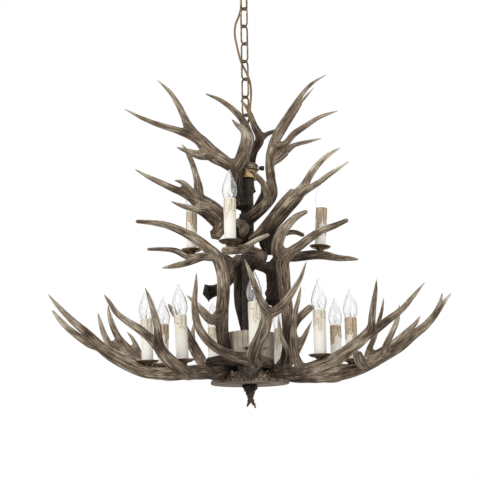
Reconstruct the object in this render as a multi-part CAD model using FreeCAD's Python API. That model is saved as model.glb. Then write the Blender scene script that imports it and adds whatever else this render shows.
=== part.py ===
import FreeCAD, Part

import math
import os
from collections import namedtuple

# An antler chandelier with twelve candle lights, hung from a ceiling on a chain.
# Millimetres, +Z up, origin at the middle of the ceiling bracket's flat upper face.
# The antlers, candles and column are placed by their height above the hub's underside.

Vector = FreeCAD.Vector

# ---- driving dimensions, in mm ------------------------------------------------------------
HUB_RADIUS = 90.0
HUB_HEIGHT = 25.0
HUB_RIM_HEIGHT = 8.0
HUB_RIM_PROUD = 3.0
STUMP_RADIUS = 60.0
STUMP_HEIGHT = 97.0
TUBE_RADIUS = 16.0
TUBE_BORE_RADIUS = 12.0
TUBE_LENGTH = 401.0
FLUTES = 12
FLUTE_DEPTH = 1.8
COLLAR_HEIGHT = 20.0
COLLAR_WALL = 10.0
CAP_RADIUS = 30.0
CAP_HEIGHT = 18.0
CAP_SCREW_RADIUS = 5.0
CAP_SCREW_LENGTH = 14.0
ROD_RADIUS = 5.0
ROD_FREE_LENGTH = 96.3         # from the cap's top to the hanging eye's socket
FINIAL_LENGTH = 57.0
FINIAL_RADIUS = 20.0

EYE_RADIUS = 12.0              # mean radius of the eye and of the ceiling loop
EYE_WIRE = 5.0
SOCKET_RADIUS = 8.0
SOCKET_HEIGHT = 14.0

LINKS = 7
LINK_PITCH = 48.1
LINK_WIDTH = 26.0
LINK_WIRE = 4.5
LINK_TURN = 45.0               # the links stand at 45 degrees to the front, each square to the next
LINK_GAP = 0.3                 # between two wires that hang in each other

CANOPY_RADIUS = 60.0
CANOPY_DEPTH = 35.0
CANOPY_FLAT_RADIUS = 32.0
CANOPY_SHOULDER = 17.0
CANOPY_WALL = 1.5
BRACKET_LENGTH = 104.0
BRACKET_WIDTH = 25.0
BRACKET_THICKNESS = 3.0
SCREW_SPACING = 70.0
SCREW_HOLE_RADIUS = 2.75
NUT_ACROSS_FLATS = 17.0
NUT_HEIGHT = 6.0
BUSHING_RADIUS = 5.5
BUSHING_FLANGE = 1.6
BUSHING_LENGTH = 9.0

CORD_DIAMETER = 6.0
CORD_SIDES = 5
CORD_POCKET = 8.0              # depth of its hole in the cap

SLEEVE_RADIUS = 14.5
SLEEVE_BORE = 12.2
SLEEVE_HEIGHT = 100.0
DISH_RADIUS = 27.0
DISH_RISE = 3.0
DISH_FLOOR = 3.0
DISH_BRIM = 5.0
CUP_RADIUS = 13.5
CUP_FOOT_RADIUS = 9.5
CUP_HEIGHT = 11.0              # from the antler's seat to the sleeve's foot
HOLDER_RADIUS = 11.4
HOLDER_HEIGHT = 86.0
HOLDER_BORE_DEPTH = 19.0
BULB_CAP_RADIUS = 6.9
BULB_RADIUS = 17.5
BULB_LENGTH = 85.0             # from the holder's top to the tip
ROUND_SIDES = 10
BULB_SIDES = 8
TURNED_SIDES = 22
COLLAR_SIDES = 20
DISC_SIDES = 28

BEAM_SIDES = 6
TINE_SIDES = 5
WIRE_SIDES = 5
POINT_RADIUS = 3.5
CLEARANCE = 0.3
THREAD_CLEARANCE = 0.05
DEPTH_TO_FIT = 1.0

# Each candle: azimuth from the front towards +X, distance from the column, height of the
# sleeve's foot above the hub's underside, and its lean towards +X in degrees.
Candle = namedtuple("Candle", "azimuth radius height lean")
LOWER_CANDLES = [
    Candle(3, 242, 57, 0),
    Candle(40.5, 240, 46, 0),
    Candle(83, 242, 50, 0),
    Candle(119, 248, 52, 0),
    Candle(161, 242, 60, 0),
    Candle(203, 240, 66, 0),
    Candle(243, 242, 60, 0),
    Candle(283, 244, 51, -1.7),
    Candle(323, 244, 38, -3),
]
UPPER_CANDLES = [
    Candle(-13, 177, 308, 0),
    Candle(106, 187, 340, 4),
    Candle(229, 191, 353, 0),
]

# Each antler: the beam from its base to a tip, and its tines as (point of the beam that it
# grows from, its own points). A point is x, y, height above the hub's underside, and radius.
Antler = namedtuple("Antler", "beam tines")
ANTLERS = {
    "crown_antler_left": Antler(
        beam=[
            (-17, -22, 428, 15), (-25, -32, 476, 14), (-26, -38, 517, 14), (-45, -44, 531, 16),
            (-85, -54, 557, 20.5), (-117, -60, 592, 15.5), (-167, -72, 610, 9.5),
            (-213, -84, 622, 7.2), (-253, -96, 636, 5.2), (-293, -110, 655, 1.5),
        ],
        tines=[
            (5, [
                (-137, -56, 618, 13.5), (-151, -52, 651, 8.8), (-164, -48, 681, 7.4),
                (-188, -44, 721, 5.4), (-220, -40, 755, 1.5),
            ]),
            (4, [(-113, -76, 546, 12), (-142, -94, 550, 6.5), (-166, -110, 555, 2)]),
            (2, [
                (-18, -46, 528, 15), (-2, -30, 565, 14.5), (9, -24, 603, 12), (3, -26, 623, 11),
                (-8, -30, 648, 9.3), (-31, -36, 674, 8), (-62, -44, 696, 6), (-99, -52, 711, 2.2),
            ]),
            (2, [(-9, -44, 620, 8), (-24, -48, 632, 5), (-34, -52, 643, 2)]),
        ],
    ),
    "crown_antler_right": Antler(
        beam=[
            (-6, -27, 389, 15), (19, -36, 406, 14), (43, -30, 429, 13), (63, -16, 458, 11),
            (60, 6, 508, 11.5), (58, 8, 550, 11), (66, 10, 592, 11), (83, 12, 635, 9),
            (109, 10, 676, 8), (136, 5, 716, 6), (167, 0, 751, 4.5), (208, -8, 774, 1.5),
        ],
        tines=[
            (6, [
                (95, 0, 593, 8.5), (119, -10, 616, 8), (149, -20, 634, 6.8), (187, -30, 654, 5.2),
                (230, -40, 665, 1.5),
            ]),
            (6, [(95, 28, 585, 10), (122, 42, 604, 6), (158, 58, 618, 4.6), (197, 74, 632, 1.5)]),
            (8, [(141, 24, 713, 5), (178, 36, 758, 1.5)]),
            (2, [
                (53, -60, 427, 7.5), (48, -68, 452, 7), (37, -76, 477, 6), (15, -82, 496, 4),
                (-6, -86, 508, 1.5),
            ]),
        ],
    ),
    "crown_antler_back": Antler(
        beam=[
            (5, 27, 479, 13), (7, 46, 536, 12.5), (17, 48, 590, 12), (35, 46, 623, 11.5),
            (21, 46, 661, 8.5), (11, 50, 695, 6), (-1, 55, 719, 4.5), (-14, 60, 734, 1.5),
        ],
        tines=[
            (3, [(57, 56, 641, 6), (79, 72, 654, 5), (96, 90, 672, 3)]),
        ],
    ),
    "middle_antler_left": Antler(
        beam=[
            (-14, -10, 340, 14), (-56, -26, 393, 19), (-86, -36, 421, 19), (-119, -46, 440, 16.5),
            (-145, -56, 452, 10.5), (-182, -72, 466, 8), (-228, -90, 485, 5.8),
            (-267, -110, 503, 1.5),
        ],
        tines=[
            (3, [
                (-118, -36, 472, 12), (-124, -26, 507, 8.3), (-134, -16, 544, 7.2),
                (-147, -8, 575, 5.6), (-161, 0, 599, 1.5),
            ]),
            (3, [(-138, -66, 462, 8.5), (-154, -80, 476, 6), (-174, -94, 478, 1.5)]),
            (2, [(-120, -62, 414, 8.5), (-155, -86, 417, 6), (-181, -108, 423, 1.5)]),
            (1, [(-69, -34, 366, 13.5), (-81, -38, 353, 16)]),
        ],
    ),
    "middle_antler_right": Antler(
        beam=[
            (54, 10, 321, 15), (44, -10, 349, 17), (54, -26, 373, 17.5), (77, -38, 400, 17),
            (96, -44, 419, 16), (124, -48, 451, 14.5), (142, -52, 477, 9.5), (158, -55, 503, 8.2),
            (175, -60, 523, 7), (198, -66, 543, 5.8), (230, -75, 559, 1.5),
        ],
        tines=[
            (5, [
                (147, -62, 460, 9.5), (173, -74, 472, 7.8), (197, -84, 488, 6.4),
                (221, -92, 502, 5), (246, -100, 517, 1.5),
            ]),
        ],
    ),
    "middle_antler_back": Antler(
        beam=[
            (-4, 27, 392, 13), (25, 46, 442, 11), (43, 70, 485, 9), (60, 100, 530, 7.5),
            (67, 128, 576, 6), (74, 156, 623, 4), (80, 176, 657, 1.5),
        ],
        tines=[
            (0, [
                (-26, 40, 400, 11), (-54, 52, 417, 10), (-89, 64, 446, 9), (-125, 76, 471, 7.5),
                (-156, 87, 490, 5.5), (-193, 98, 510, 1.5),
            ]),
            (2, [(39, 100, 520, 5), (14, 132, 551, 4), (-7, 158, 570, 1.5)]),
        ],
    ),
    "arm_antler_front": Antler(
        beam=[
            (6, -9, 286, 13), (33, -70, 295, 13), (14, -110, 298, 12), (-11, -140, 297, 11.5),
            (-40, -172, 289, 11), (-54, -192, 282, 9.5),
        ],
        tines=[
            (3, [(5, -158, 305, 6.5), (23, -170, 313, 6), (48, -184, 321, 4)]),
        ],
    ),
    "arm_antler_left": Antler(
        beam=[
            (-102, -18, 218, 15), (-76, -12, 226, 14), (-49, -2, 251, 14), (-39, 10, 288, 14),
            (-59, 36, 312, 13), (-90, 68, 323, 12), (-116, 94, 330, 11), (-144, 125, 334, 11),
            (-191, 142, 358, 8), (-226, 154, 364, 6), (-262, 166, 367, 4),
        ],
        tines=[
            (3, [(-17, 4, 309, 12)]),
            (6, [(-152, 92, 315, 8.5), (-187, 84, 305, 6.5), (-217, 78, 299, 2)]),
        ],
    ),
    "arm_antler_right": Antler(
        beam=[
            (59, -2, 193, 17), (60, 2, 236, 16.5), (60, 8, 276, 15), (76, 18, 305, 13),
            (119, 38, 314, 11.5), (180, 52, 321, 11), (227, 62, 314, 8), (255, 66, 313, 6),
            (276, 70, 311, 2.5),
        ],
        tines=[
            (2, [(12, 9, 295, 13)]),
            (1, [(44, -16, 211, 8)]),
            (3, [(72, 12, 347, 7.5), (89, 6, 364, 6.5), (114, 0, 368, 6), (137, -6, 358, 5)]),
        ],
    ),
    "upright_antler_left": Antler(
        beam=[
            (-51, -40, 43, 13), (-57, -50, 77, 14.5), (-63, -54, 114, 15), (-63, -56, 165, 15),
            (-59, -58, 222, 15), (-62, -60, 265, 14.5), (-73, -64, 295, 14),
            (-97, -68, 318, 12.5), (-124, -73, 339, 11.5), (-153, -79, 355, 9.4),
            (-188, -86, 369, 7.9), (-225, -94, 375, 6.5), (-262, -102, 377, 4.4),
        ],
        tines=[
            (3, [
                (-86, -78, 144, 11.5), (-109, -94, 164, 9), (-124, -104, 181, 6),
                (-143, -116, 197, 2),
            ]),
        ],
    ),
    "upright_antler_right": Antler(
        beam=[
            (77, -23, 37, 13), (88, -36, 71, 14), (91, -46, 110, 14.5), (90, -52, 166, 14.5),
            (86, -55, 213, 14.5), (83, -56, 249, 15.5), (83, -57, 283, 15.5), (101, -61, 305, 12),
            (123, -65, 319, 10.5), (149, -70, 338, 9.5), (176, -76, 353, 8.2),
            (209, -83, 364, 6.8), (237, -90, 375, 4.8),
        ],
        tines=[
            (6, [
                (69, -62, 309, 14), (76, -68, 341, 13), (96, -73, 369, 10.5),
                (116, -78, 387, 8.2), (142, -84, 399, 4.8),
            ]),
            (2, [(112, -66, 142, 9.5), (128, -74, 157, 9), (146, -82, 171, 8)]),
        ],
    ),
    "upright_antler_back": Antler(
        beam=[
            (-7, 36, 115, 10), (-14, 40, 159, 12.5), (-20, 40, 201, 15.5), (-21, 38, 243, 15.5),
            (-19, 34, 282, 13.5), (-15, 27, 311, 11),
        ],
        tines=[
            (3, [(-41, 62, 273, 8), (-56, 84, 308, 6.5), (-68, 104, 338, 1.5)]),
        ],
    ),
    "basket_antler_1": Antler(
        beam=[
            (3, -57, 36, 13), (2, -120, 18, 14.5), (3, -180, 26, 15.5), (13, -242, 34, 16),
            (9, -271, 44, 15), (20, -291, 65, 14.5), (31, -312, 90, 13.5), (37, -335, 116, 12),
            (21, -370, 148, 8.5), (7, -402, 184, 6), (-8, -430, 218, 1.5),
        ],
        tines=[
            (3, [
                (-29, -250, 40, 12.5), (-59, -260, 51, 11), (-86, -270, 70, 10.5),
                (-104, -279, 94, 9.5), (-113, -286, 123, 8.5), (-115, -291, 153, 7),
                (-112, -295, 182, 5), (-110, -300, 216, 1.5),
            ]),
            (7, [
                (60, -352, 125, 9), (86, -378, 152, 7), (104, -400, 178, 5),
                (118, -420, 214, 1.5),
            ]),
        ],
    ),
    "basket_antler_2": Antler(
        beam=[
            (38, -42, 36, 13), (82, -92, 17, 14.5), (116, -137, 16, 15), (156, -182, 24, 15.5),
            (188, -197, 37, 14), (218, -211, 57, 12.5), (246, -224, 78, 12), (262, -240, 98, 9.5),
            (263, -260, 119, 8), (265, -285, 145, 6.5), (267, -310, 169, 4.5),
            (267, -335, 189, 1.5),
        ],
        tines=[
            (2, [
                (100, -162, 57, 9), (98, -174, 87, 8.5), (99, -184, 117, 7.5),
                (103, -194, 144, 6.5), (110, -204, 170, 5), (116, -214, 199, 1.5),
            ]),
            (1, [
                (87, -106, 64, 6.5), (74, -108, 96, 5.5), (69, -110, 123, 4),
                (67, -112, 150, 1.5),
            ]),
            (6, [
                (278, -228, 99, 9.5), (305, -226, 119, 8.5), (332, -224, 139, 7),
                (360, -222, 169, 5), (388, -220, 201, 1.5),
            ]),
        ],
    ),
    "basket_antler_3": Antler(
        beam=[
            (56, -9, 36, 13), (113, -14, 19, 14.5), (178, -24, 15, 15), (240, -29, 27, 16),
            (276, -36, 39, 14), (314, -44, 59, 13.5), (349, -50, 78, 12.5), (381, -54, 103, 11),
            (412, -58, 126, 9.5), (436, -61, 152, 8), (455, -64, 177, 5.5), (476, -67, 201, 1.5),
        ],
        tines=[
            (9, [(451, -44, 180, 5.5), (462, -28, 209, 1.5)]),
            (5, [
                (316, -72, 80, 8.5), (329, -90, 107, 7.5), (340, -106, 135, 6),
                (344, -120, 168, 1.5),
            ]),
            (4, [(254, -72, 44, 12), (246, -88, 61, 10)]),
        ],
    ),
    "basket_antler_4": Antler(
        beam=[
            (49, 28, 36, 13), (102, 56, 23, 14.5), (160, 90, 25, 15), (217, 120, 29, 16),
            (256, 140, 48, 14), (296, 153, 66, 13), (337, 164, 89, 12), (374, 172, 115, 10),
            (405, 178, 141, 8), (430, 184, 165, 5.5), (444, 190, 185, 1.5),
        ],
        tines=[
            (5, [
                (304, 168, 95, 8.5), (320, 180, 127, 7.5), (333, 194, 162, 6.5),
                (347, 206, 203, 4.5), (355, 216, 240, 1.5),
            ]),
        ],
    ),
    "basket_antler_5": Antler(
        beam=[
            (19, 54, 36, 13), (32, 120, 31, 14.5), (53, 175, 35, 15), (79, 229, 37, 16),
            (87, 260, 52, 14.5), (99, 286, 73, 14), (114, 318, 96, 12.5), (134, 348, 126, 10),
            (154, 376, 162, 7), (177, 404, 208, 1.5),
        ],
        tines=[
            (7, [(129, 376, 154, 7.5), (125, 402, 191, 5.5), (130, 424, 223, 1.5)]),
            (2, [(31, 205, 65, 9), (17, 228, 96, 7), (7, 250, 133, 1.5)]),
        ],
    ),
    "basket_antler_6": Antler(
        beam=[
            (-20, 53, 36, 13), (-42, 120, 32, 14.5), (-69, 172, 38, 15), (-94, 221, 43, 16),
            (-109, 252, 56, 14.5), (-123, 280, 76, 14), (-139, 312, 97, 12.5),
            (-153, 338, 119, 10), (-157, 374, 164, 7), (-153, 410, 217, 1.5),
        ],
        tines=[
            (7, [(-174, 362, 147, 8), (-184, 388, 178, 6), (-187, 414, 212, 1.5)]),
            (2, [(-48, 198, 71, 8), (-33, 220, 101, 6), (-25, 244, 135, 1.5)]),
            (4, [(-192, 258, 201, 8.5), (-206, 266, 221, 7), (-216, 274, 239, 3)]),
        ],
    ),
    "basket_antler_7": Antler(
        beam=[
            (-50, 28, 36, 13), (-104, 54, 32, 14.5), (-160, 84, 35, 15), (-216, 110, 37, 16),
            (-253, 128, 55, 14), (-285, 146, 79, 12.5), (-312, 162, 107, 12.2),
            (-335, 177, 136, 9.7), (-351, 190, 165, 8.2), (-363, 203, 196, 6.2),
            (-370, 214, 231, 1.5),
        ],
        tines=[
            (5, [
                (-328, 160, 97, 10.3), (-355, 172, 116, 9.3), (-374, 184, 147, 7.8),
                (-386, 196, 180, 5.8), (-396, 206, 210, 1.5),
            ]),
            (4, [
                (-277, 158, 87, 8), (-289, 172, 114, 6.5), (-303, 184, 139, 4.5),
                (-318, 194, 156, 1.5),
            ]),
        ],
    ),
    "basket_antler_8": Antler(
        beam=[
            (-56, -11, 36, 13), (-110, -28, 29, 14.5), (-173, -42, 24, 15), (-238, -55, 28, 16),
            (-274, -64, 41, 15.5), (-308, -72, 59, 15), (-344, -80, 85, 13),
            (-377, -90, 118, 9.5), (-397, -97, 135, 8.5), (-421, -104, 158, 7),
            (-442, -110, 180, 5), (-463, -116, 206, 1.5),
        ],
        tines=[
            (6, [
                (-375, -60, 96, 9.5), (-402, -50, 115, 8.5), (-425, -42, 133, 7.5),
                (-448, -34, 156, 6), (-468, -28, 180, 3),
            ]),
        ],
    ),
    "basket_antler_9": Antler(
        beam=[
            (-36, -44, 36, 13), (-82, -92, 20, 14.5), (-114, -145, 19, 15), (-147, -195, 15, 16),
            (-157, -212, 24, 15), (-175, -229, 38, 14), (-192, -240, 60, 12.5),
            (-195, -256, 82, 10), (-195, -280, 106, 8.5), (-200, -303, 130, 7),
            (-206, -325, 153, 5), (-215, -345, 177, 1.5),
        ],
        tines=[
            (6, [
                (-214, -240, 84, 10), (-239, -248, 104, 9), (-264, -256, 120, 7.5),
                (-286, -263, 139, 6), (-299, -269, 159, 4.5), (-311, -275, 177, 1.5),
            ]),
        ],
    ),
}

# The cord's route beside the chain: x, y and height above the hub's underside. It is drawn in
# two lengths that meet beside the top link. The first point stands at the canopy's bush, and
# the last in the cap.
CORD_EXIT = (-15, 15)
CORD_ENTRY = (8, 13.5)
CORD_TOP_ROUTE = [(-15, 15, 1020), (-7, 14, 1001), (-7, 14, 984)]
CORD_ROUTE = [
    (-7, 14, 984), (-7, 14, 967), (-13, 12, 945), (-23, 8, 920), (-25, 5, 892), (-20, 3.5, 863),
    (-14.5, 2.5, 836), (-8.5, 0, 811), (0, 0, 794), (7, -0.5, 778), (13, 0, 760),
    (15.5, 0, 733), (13, -1, 703), (10, 0, 675), (7.5, 9, 656),
    (0, 13.5, 640), (-8, 13, 621), (-10, 11, 598), (-5, 12, 577), (4, 13.5, 562),
    (8, 13.5, 548),
]

# ---- levels ----------------------------------------------------------------------------------
STUMP_TOP = HUB_HEIGHT + STUMP_HEIGHT
TUBE_TOP = STUMP_TOP + TUBE_LENGTH
CAP_TOP = TUBE_TOP + CAP_HEIGHT
SOCKET_FOOT = CAP_TOP + ROD_FREE_LENGTH
EYE_CENTRE = SOCKET_FOOT + SOCKET_HEIGHT + EYE_RADIUS - DEPTH_TO_FIT
EYE_TOP_WIRE = EYE_CENTRE + EYE_RADIUS
FIRST_JOINT = EYE_TOP_WIRE - (EYE_WIRE + LINK_GAP) / 2.0
LAST_JOINT = FIRST_JOINT + LINKS * LINK_PITCH
LOOP_BOTTOM_WIRE = LAST_JOINT - (EYE_WIRE + LINK_GAP) / 2.0
LOOP_CENTRE = LOOP_BOTTOM_WIRE + EYE_RADIUS
LOOP_SOCKET_FOOT = LOOP_CENTRE + EYE_RADIUS - DEPTH_TO_FIT
CANOPY_FOOT = LOOP_SOCKET_FOOT + SOCKET_HEIGHT
CEILING = CANOPY_FOOT + CANOPY_DEPTH
CORD_START = (*CORD_EXIT, CANOPY_FOOT - BUSHING_FLANGE)
CORD_END = (*CORD_ENTRY, CAP_TOP - CORD_POCKET)


def at(x, y, height):
    """A point at this height above the hub's underside, in the frame of the ceiling mount."""
    return Vector(x, y, height - CEILING)


def solid_from(faces):
    """A closed solid of flat faces, turned so that they point outwards."""
    solid = Part.makeSolid(Part.makeShell(faces))
    if solid.Volume < 0:
        solid.reverse()
    return solid


def flat_face(points):
    return Part.Face(Part.makePolygon(list(points) + [points[0]]))


def tangents(points, closed=False):
    """The direction of a route at each of its points."""
    count = len(points)
    found = []
    for i in range(count):
        before = points[i - 1] if closed or i else points[0]
        after = points[(i + 1) % count] if closed or i < count - 1 else points[-1]
        into = (points[i] - before)
        out = (after - points[i])
        direction = Vector(0, 0, 0)
        for run in (into, out):
            if run.Length > 1e-9:
                direction = direction + run.normalize()
        found.append(direction.normalize())
    return found


def rings_along(points, radii, sides, closed=False):
    """A regular polygon round each point, square to the route and without twist."""
    directions = tangents(points, closed)
    across = directions[0].cross(Vector(0.31, 0.17, 0.93))
    if across.Length < 0.2:
        across = directions[0].cross(Vector(1, 0, 0))
    rings = []
    for point, radius, direction in zip(points, radii, directions):
        across = (across - direction * across.dot(direction)).normalize()
        beside = direction.cross(across)
        ring = []
        for j in range(sides):
            angle = 2 * math.pi * j / sides
            ring.append(point + (across * math.cos(angle) + beside * math.sin(angle)) * radius)
        rings.append(ring)
    return rings


def walls_between(low, high):
    """The triangles between two rings of as many points."""
    sides = len(low)
    faces = []
    for j in range(sides):
        k = (j + 1) % sides
        faces.append(flat_face([low[j], low[k], high[k]]))
        faces.append(flat_face([low[j], high[k], high[j]]))
    return faces


def facet_branch(points, radii, sides):
    """A many-sided bar along a route, whose radius changes from point to point. It runs out to
    a point if its last radius is small."""
    rings = rings_along(points, radii, sides)
    faces = [flat_face(rings[0])]
    if radii[-1] < POINT_RADIUS:
        rings.pop()
        for j in range(sides):
            faces.append(flat_face([rings[-1][j], rings[-1][(j + 1) % sides], points[-1]]))
    else:
        faces.append(flat_face(rings[-1]))
    for low, high in zip(rings, rings[1:]):
        faces += walls_between(low, high)
    return solid_from(faces)


def facet_loop(points, wire, sides):
    """A closed wire along a route that lies in one plane."""
    normal = (points[1] - points[0]).cross(points[2] - points[0]).normalize()
    rings = []
    for point, direction in zip(points, tangents(points, closed=True)):
        outward = direction.cross(normal)
        ring = []
        for j in range(sides):
            angle = 2 * math.pi * (j + 0.5) / sides
            ring.append(point + (outward * math.cos(angle) + normal * math.sin(angle)) * wire / 2.0)
        rings.append(ring)
    faces = []
    for low, high in zip(rings, rings[1:] + rings[:1]):
        faces += walls_between(low, high)
    return solid_from(faces)


def facet_revolve(profile, sides, turn=0.0):
    """A many-sided turning about Z. The profile is (radius, height) and starts and ends on the
    axis, or else is a closed outline that stays clear of it."""
    def ring(radius, height):
        corners = []
        for j in range(sides):
            angle = turn + 2 * math.pi * j / sides
            corners.append(Vector(radius * math.cos(angle), radius * math.sin(angle), height))
        return corners

    solid_core = profile[0][0] == 0
    faces = []
    if solid_core:
        inner = profile[1:-1]
        rings = [ring(*p) for p in inner]
        for end, pole in ((rings[0], profile[0]), (rings[-1], profile[-1])):
            if pole[1] == end[0].z:
                faces.append(flat_face(end))
            else:
                tip = Vector(0, 0, pole[1])
                for j in range(sides):
                    faces.append(flat_face([end[j], end[(j + 1) % sides], tip]))
        pairs = list(zip(rings, rings[1:]))
    else:
        rings = [ring(*p) for p in profile]
        pairs = list(zip(rings, rings[1:] + rings[:1]))
    for low, high in pairs:
        for j in range(sides):
            k = (j + 1) % sides
            faces.append(flat_face([low[j], low[k], high[k], high[j]]))
    return solid_from(faces)


def cylinder(radius, foot, top, x=0.0, y=0.0):
    return Part.makeCylinder(radius, top - foot, at(x, y, foot))


def prism(inradius, foot, top, sides=24, x=0.0, y=0.0):
    """A many-sided bar whose flats lie at this distance from its axis."""
    reach = inradius / math.cos(math.pi / sides)
    corners = []
    for j in range(sides):
        angle = 2 * math.pi * j / sides
        corners.append(at(x + reach * math.cos(angle), y + reach * math.sin(angle), foot))
    return flat_face(corners).extrude(Vector(0, 0, top - foot))


def bar(radius, foot, top, sides):
    """A many-sided bar whose corners lie at this distance from the Z axis."""
    return prism(radius * math.cos(math.pi / sides), foot, top, sides)


def largest_solid(shape):
    return max(shape.Solids, key=lambda s: s.Volume)


# ---- column -----------------------------------------------------------------------------------
def fluted_outline(radius, depth, flutes, height):
    """A ring of corners that steps in at each flute."""
    corners = []
    steps = (0.0, 0.5, 0.62, 0.88)
    for i in range(flutes):
        for step in steps:
            angle = 2 * math.pi * (i + step) / flutes
            reach = radius - (depth if step > 0.55 else 0.0)
            corners.append(at(reach * math.cos(angle), reach * math.sin(angle), height))
    return corners


def column_tube():
    outside = flat_face(fluted_outline(TUBE_RADIUS, FLUTE_DEPTH, FLUTES, STUMP_TOP))
    tube = outside.extrude(Vector(0, 0, TUBE_LENGTH))
    return tube.cut(cylinder(TUBE_BORE_RADIUS, STUMP_TOP, TUBE_TOP))


def column_collar():
    foot = TUBE_TOP - COLLAR_HEIGHT
    inner = TUBE_RADIUS + THREAD_CLEARANCE
    outside = prism(inner + COLLAR_WALL, foot, TUBE_TOP, COLLAR_SIDES)
    return outside.cut(prism(inner, foot, TUBE_TOP, COLLAR_SIDES))


def rod_bore(foot, top):
    return prism(ROD_RADIUS + THREAD_CLEARANCE, foot, top, ROUND_SIDES)


def column_cap():
    bead = 4.0
    profile = [
        (0, 0), (CAP_RADIUS - bead, 0), (CAP_RADIUS, bead), (CAP_RADIUS, CAP_HEIGHT - bead),
        (CAP_RADIUS - bead, CAP_HEIGHT), (0, CAP_HEIGHT),
    ]
    disc = facet_revolve(profile, TURNED_SIDES)
    disc.translate(at(0, 0, TUBE_TOP))
    x, y = CORD_ENTRY
    pocket = prism(CORD_DIAMETER / 2.0 + 1.0, CAP_TOP - CORD_POCKET, CAP_TOP, 10, x, y)
    return disc.cut(rod_bore(TUBE_TOP, CAP_TOP)).cut(pocket)


def cap_screw():
    head = facet_revolve(
        [(0, 0), (CAP_SCREW_RADIUS * 0.5, 0), (CAP_SCREW_RADIUS * 0.5, 5), (CAP_SCREW_RADIUS, 6),
         (CAP_SCREW_RADIUS, CAP_SCREW_LENGTH - 2), (CAP_SCREW_RADIUS * 0.7, CAP_SCREW_LENGTH),
         (0, CAP_SCREW_LENGTH)], 6)
    head.rotate(Vector(0, 0, 0), Vector(0, 1, 0), 90)
    head.translate(at(CAP_RADIUS, 0, TUBE_TOP + CAP_HEIGHT / 2.0))
    return head


def central_rod():
    foot = -FINIAL_LENGTH * 0.4
    return bar(ROD_RADIUS, foot, SOCKET_FOOT + SOCKET_HEIGHT / 2.0, ROUND_SIDES)


def stump_core():
    """A short billet of split timber, slightly out of round, that the uprights stand round."""
    corners = []
    sides = 20
    for j in range(sides):
        angle = 2 * math.pi * j / sides
        reach = STUMP_RADIUS * (1.0 - 0.025 * (1 + math.sin(3 * angle + 0.6)))
        corners.append(at(reach * math.cos(angle), reach * math.sin(angle), HUB_HEIGHT))
    billet = flat_face(corners).extrude(Vector(0, 0, STUMP_HEIGHT))
    return billet.cut(rod_bore(HUB_HEIGHT, STUMP_TOP))


def hub_disc():
    """The plate that the lowest antlers and the stump are screwed to, with a proud lower rim."""
    profile = [
        (0, 0), (HUB_RADIUS + HUB_RIM_PROUD, 0), (HUB_RADIUS + HUB_RIM_PROUD, HUB_RIM_HEIGHT),
        (HUB_RADIUS, HUB_RIM_HEIGHT), (HUB_RADIUS, HUB_HEIGHT), (0, HUB_HEIGHT),
    ]
    disc = facet_revolve(profile, DISC_SIDES)
    disc.translate(at(0, 0, 0))
    return disc.cut(rod_bore(0, HUB_HEIGHT))


def finial():
    """The cut crown of an antler: a pearled burr that narrows and forks into two short points."""
    fork = -FINIAL_LENGTH * 0.6
    levels = [(0.0, 0.86), (-5.0, 1.0), (-11.0, 0.88), (-20.0, 0.6), (fork, 0.34)]
    stem = facet_branch([at(0, 0, h) for h, _ in levels],
                        [FINIAL_RADIUS * share for _, share in levels], 8)
    prongs = []
    for tip_x, tip_share in ((-9.0, 0.93), (13.0, 1.0)):
        route = [at(0, 0, fork + 4), at(tip_x * 0.45, 0, fork - 8),
                 at(tip_x, 0, -FINIAL_LENGTH * tip_share)]
        prongs.append(facet_branch(route, [6.0, 4.6, 2.4], 6))
    whole = largest_solid(stem.fuse(prongs))
    return whole.cut(rod_bore(-FINIAL_LENGTH * 0.4, 0))


# ---- suspension ---------------------------------------------------------------------------------
def chain_axis(step):
    """The level direction in which link number step, or the eye before it, lies flat."""
    angle = math.radians(LINK_TURN + 90.0 * (step % 2))
    return Vector(math.cos(angle), math.sin(angle), 0)


def link(step):
    """One link, counted from the bottom: two straight sides and two half circles of wire."""
    wire_drop = (LINK_WIRE + LINK_GAP) / 2.0
    low = FIRST_JOINT + step * LINK_PITCH - wire_drop
    high = FIRST_JOINT + (step + 1) * LINK_PITCH + wire_drop
    bend = (LINK_WIDTH - LINK_WIRE) / 2.0
    across = chain_axis(step)
    arc_steps = 4
    route = []
    for centre, start in ((high - bend, 0.0), (low + bend, math.pi)):
        for i in range(arc_steps + 1):
            angle = start + math.pi * i / arc_steps
            middle = at(0, 0, centre + bend * math.sin(angle))
            route.append(middle + across * bend * math.cos(angle))
    return facet_loop(route, LINK_WIRE, WIRE_SIDES)


def eye_ring(centre, across):
    steps = 12
    route = []
    for i in range(steps):
        angle = 2 * math.pi * i / steps
        middle = at(0, 0, centre + EYE_RADIUS * math.sin(angle))
        route.append(middle + across * EYE_RADIUS * math.cos(angle))
    return facet_loop(route, EYE_WIRE, WIRE_SIDES)


def hanging_eye():
    top = SOCKET_FOOT + SOCKET_HEIGHT
    socket = prism(SOCKET_RADIUS, SOCKET_FOOT, top, ROUND_SIDES)
    ring = eye_ring(EYE_CENTRE, chain_axis(-1))
    return socket.fuse(ring).cut(rod_bore(SOCKET_FOOT, SOCKET_FOOT + SOCKET_HEIGHT / 2.0))


def ceiling_loop():
    socket = prism(SOCKET_RADIUS, LOOP_SOCKET_FOOT, CANOPY_FOOT, ROUND_SIDES)
    ring = eye_ring(LOOP_CENTRE, chain_axis(LINKS))
    bore_foot = CANOPY_FOOT - SOCKET_HEIGHT / 2.0
    return socket.fuse(ring).cut(rod_bore(bore_foot, CANOPY_FOOT))


def canopy_nipple():
    top = CEILING - DEPTH_TO_FIT
    foot = CANOPY_FOOT - SOCKET_HEIGHT / 2.0
    return bar(ROD_RADIUS, foot, top, ROUND_SIDES)


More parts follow.
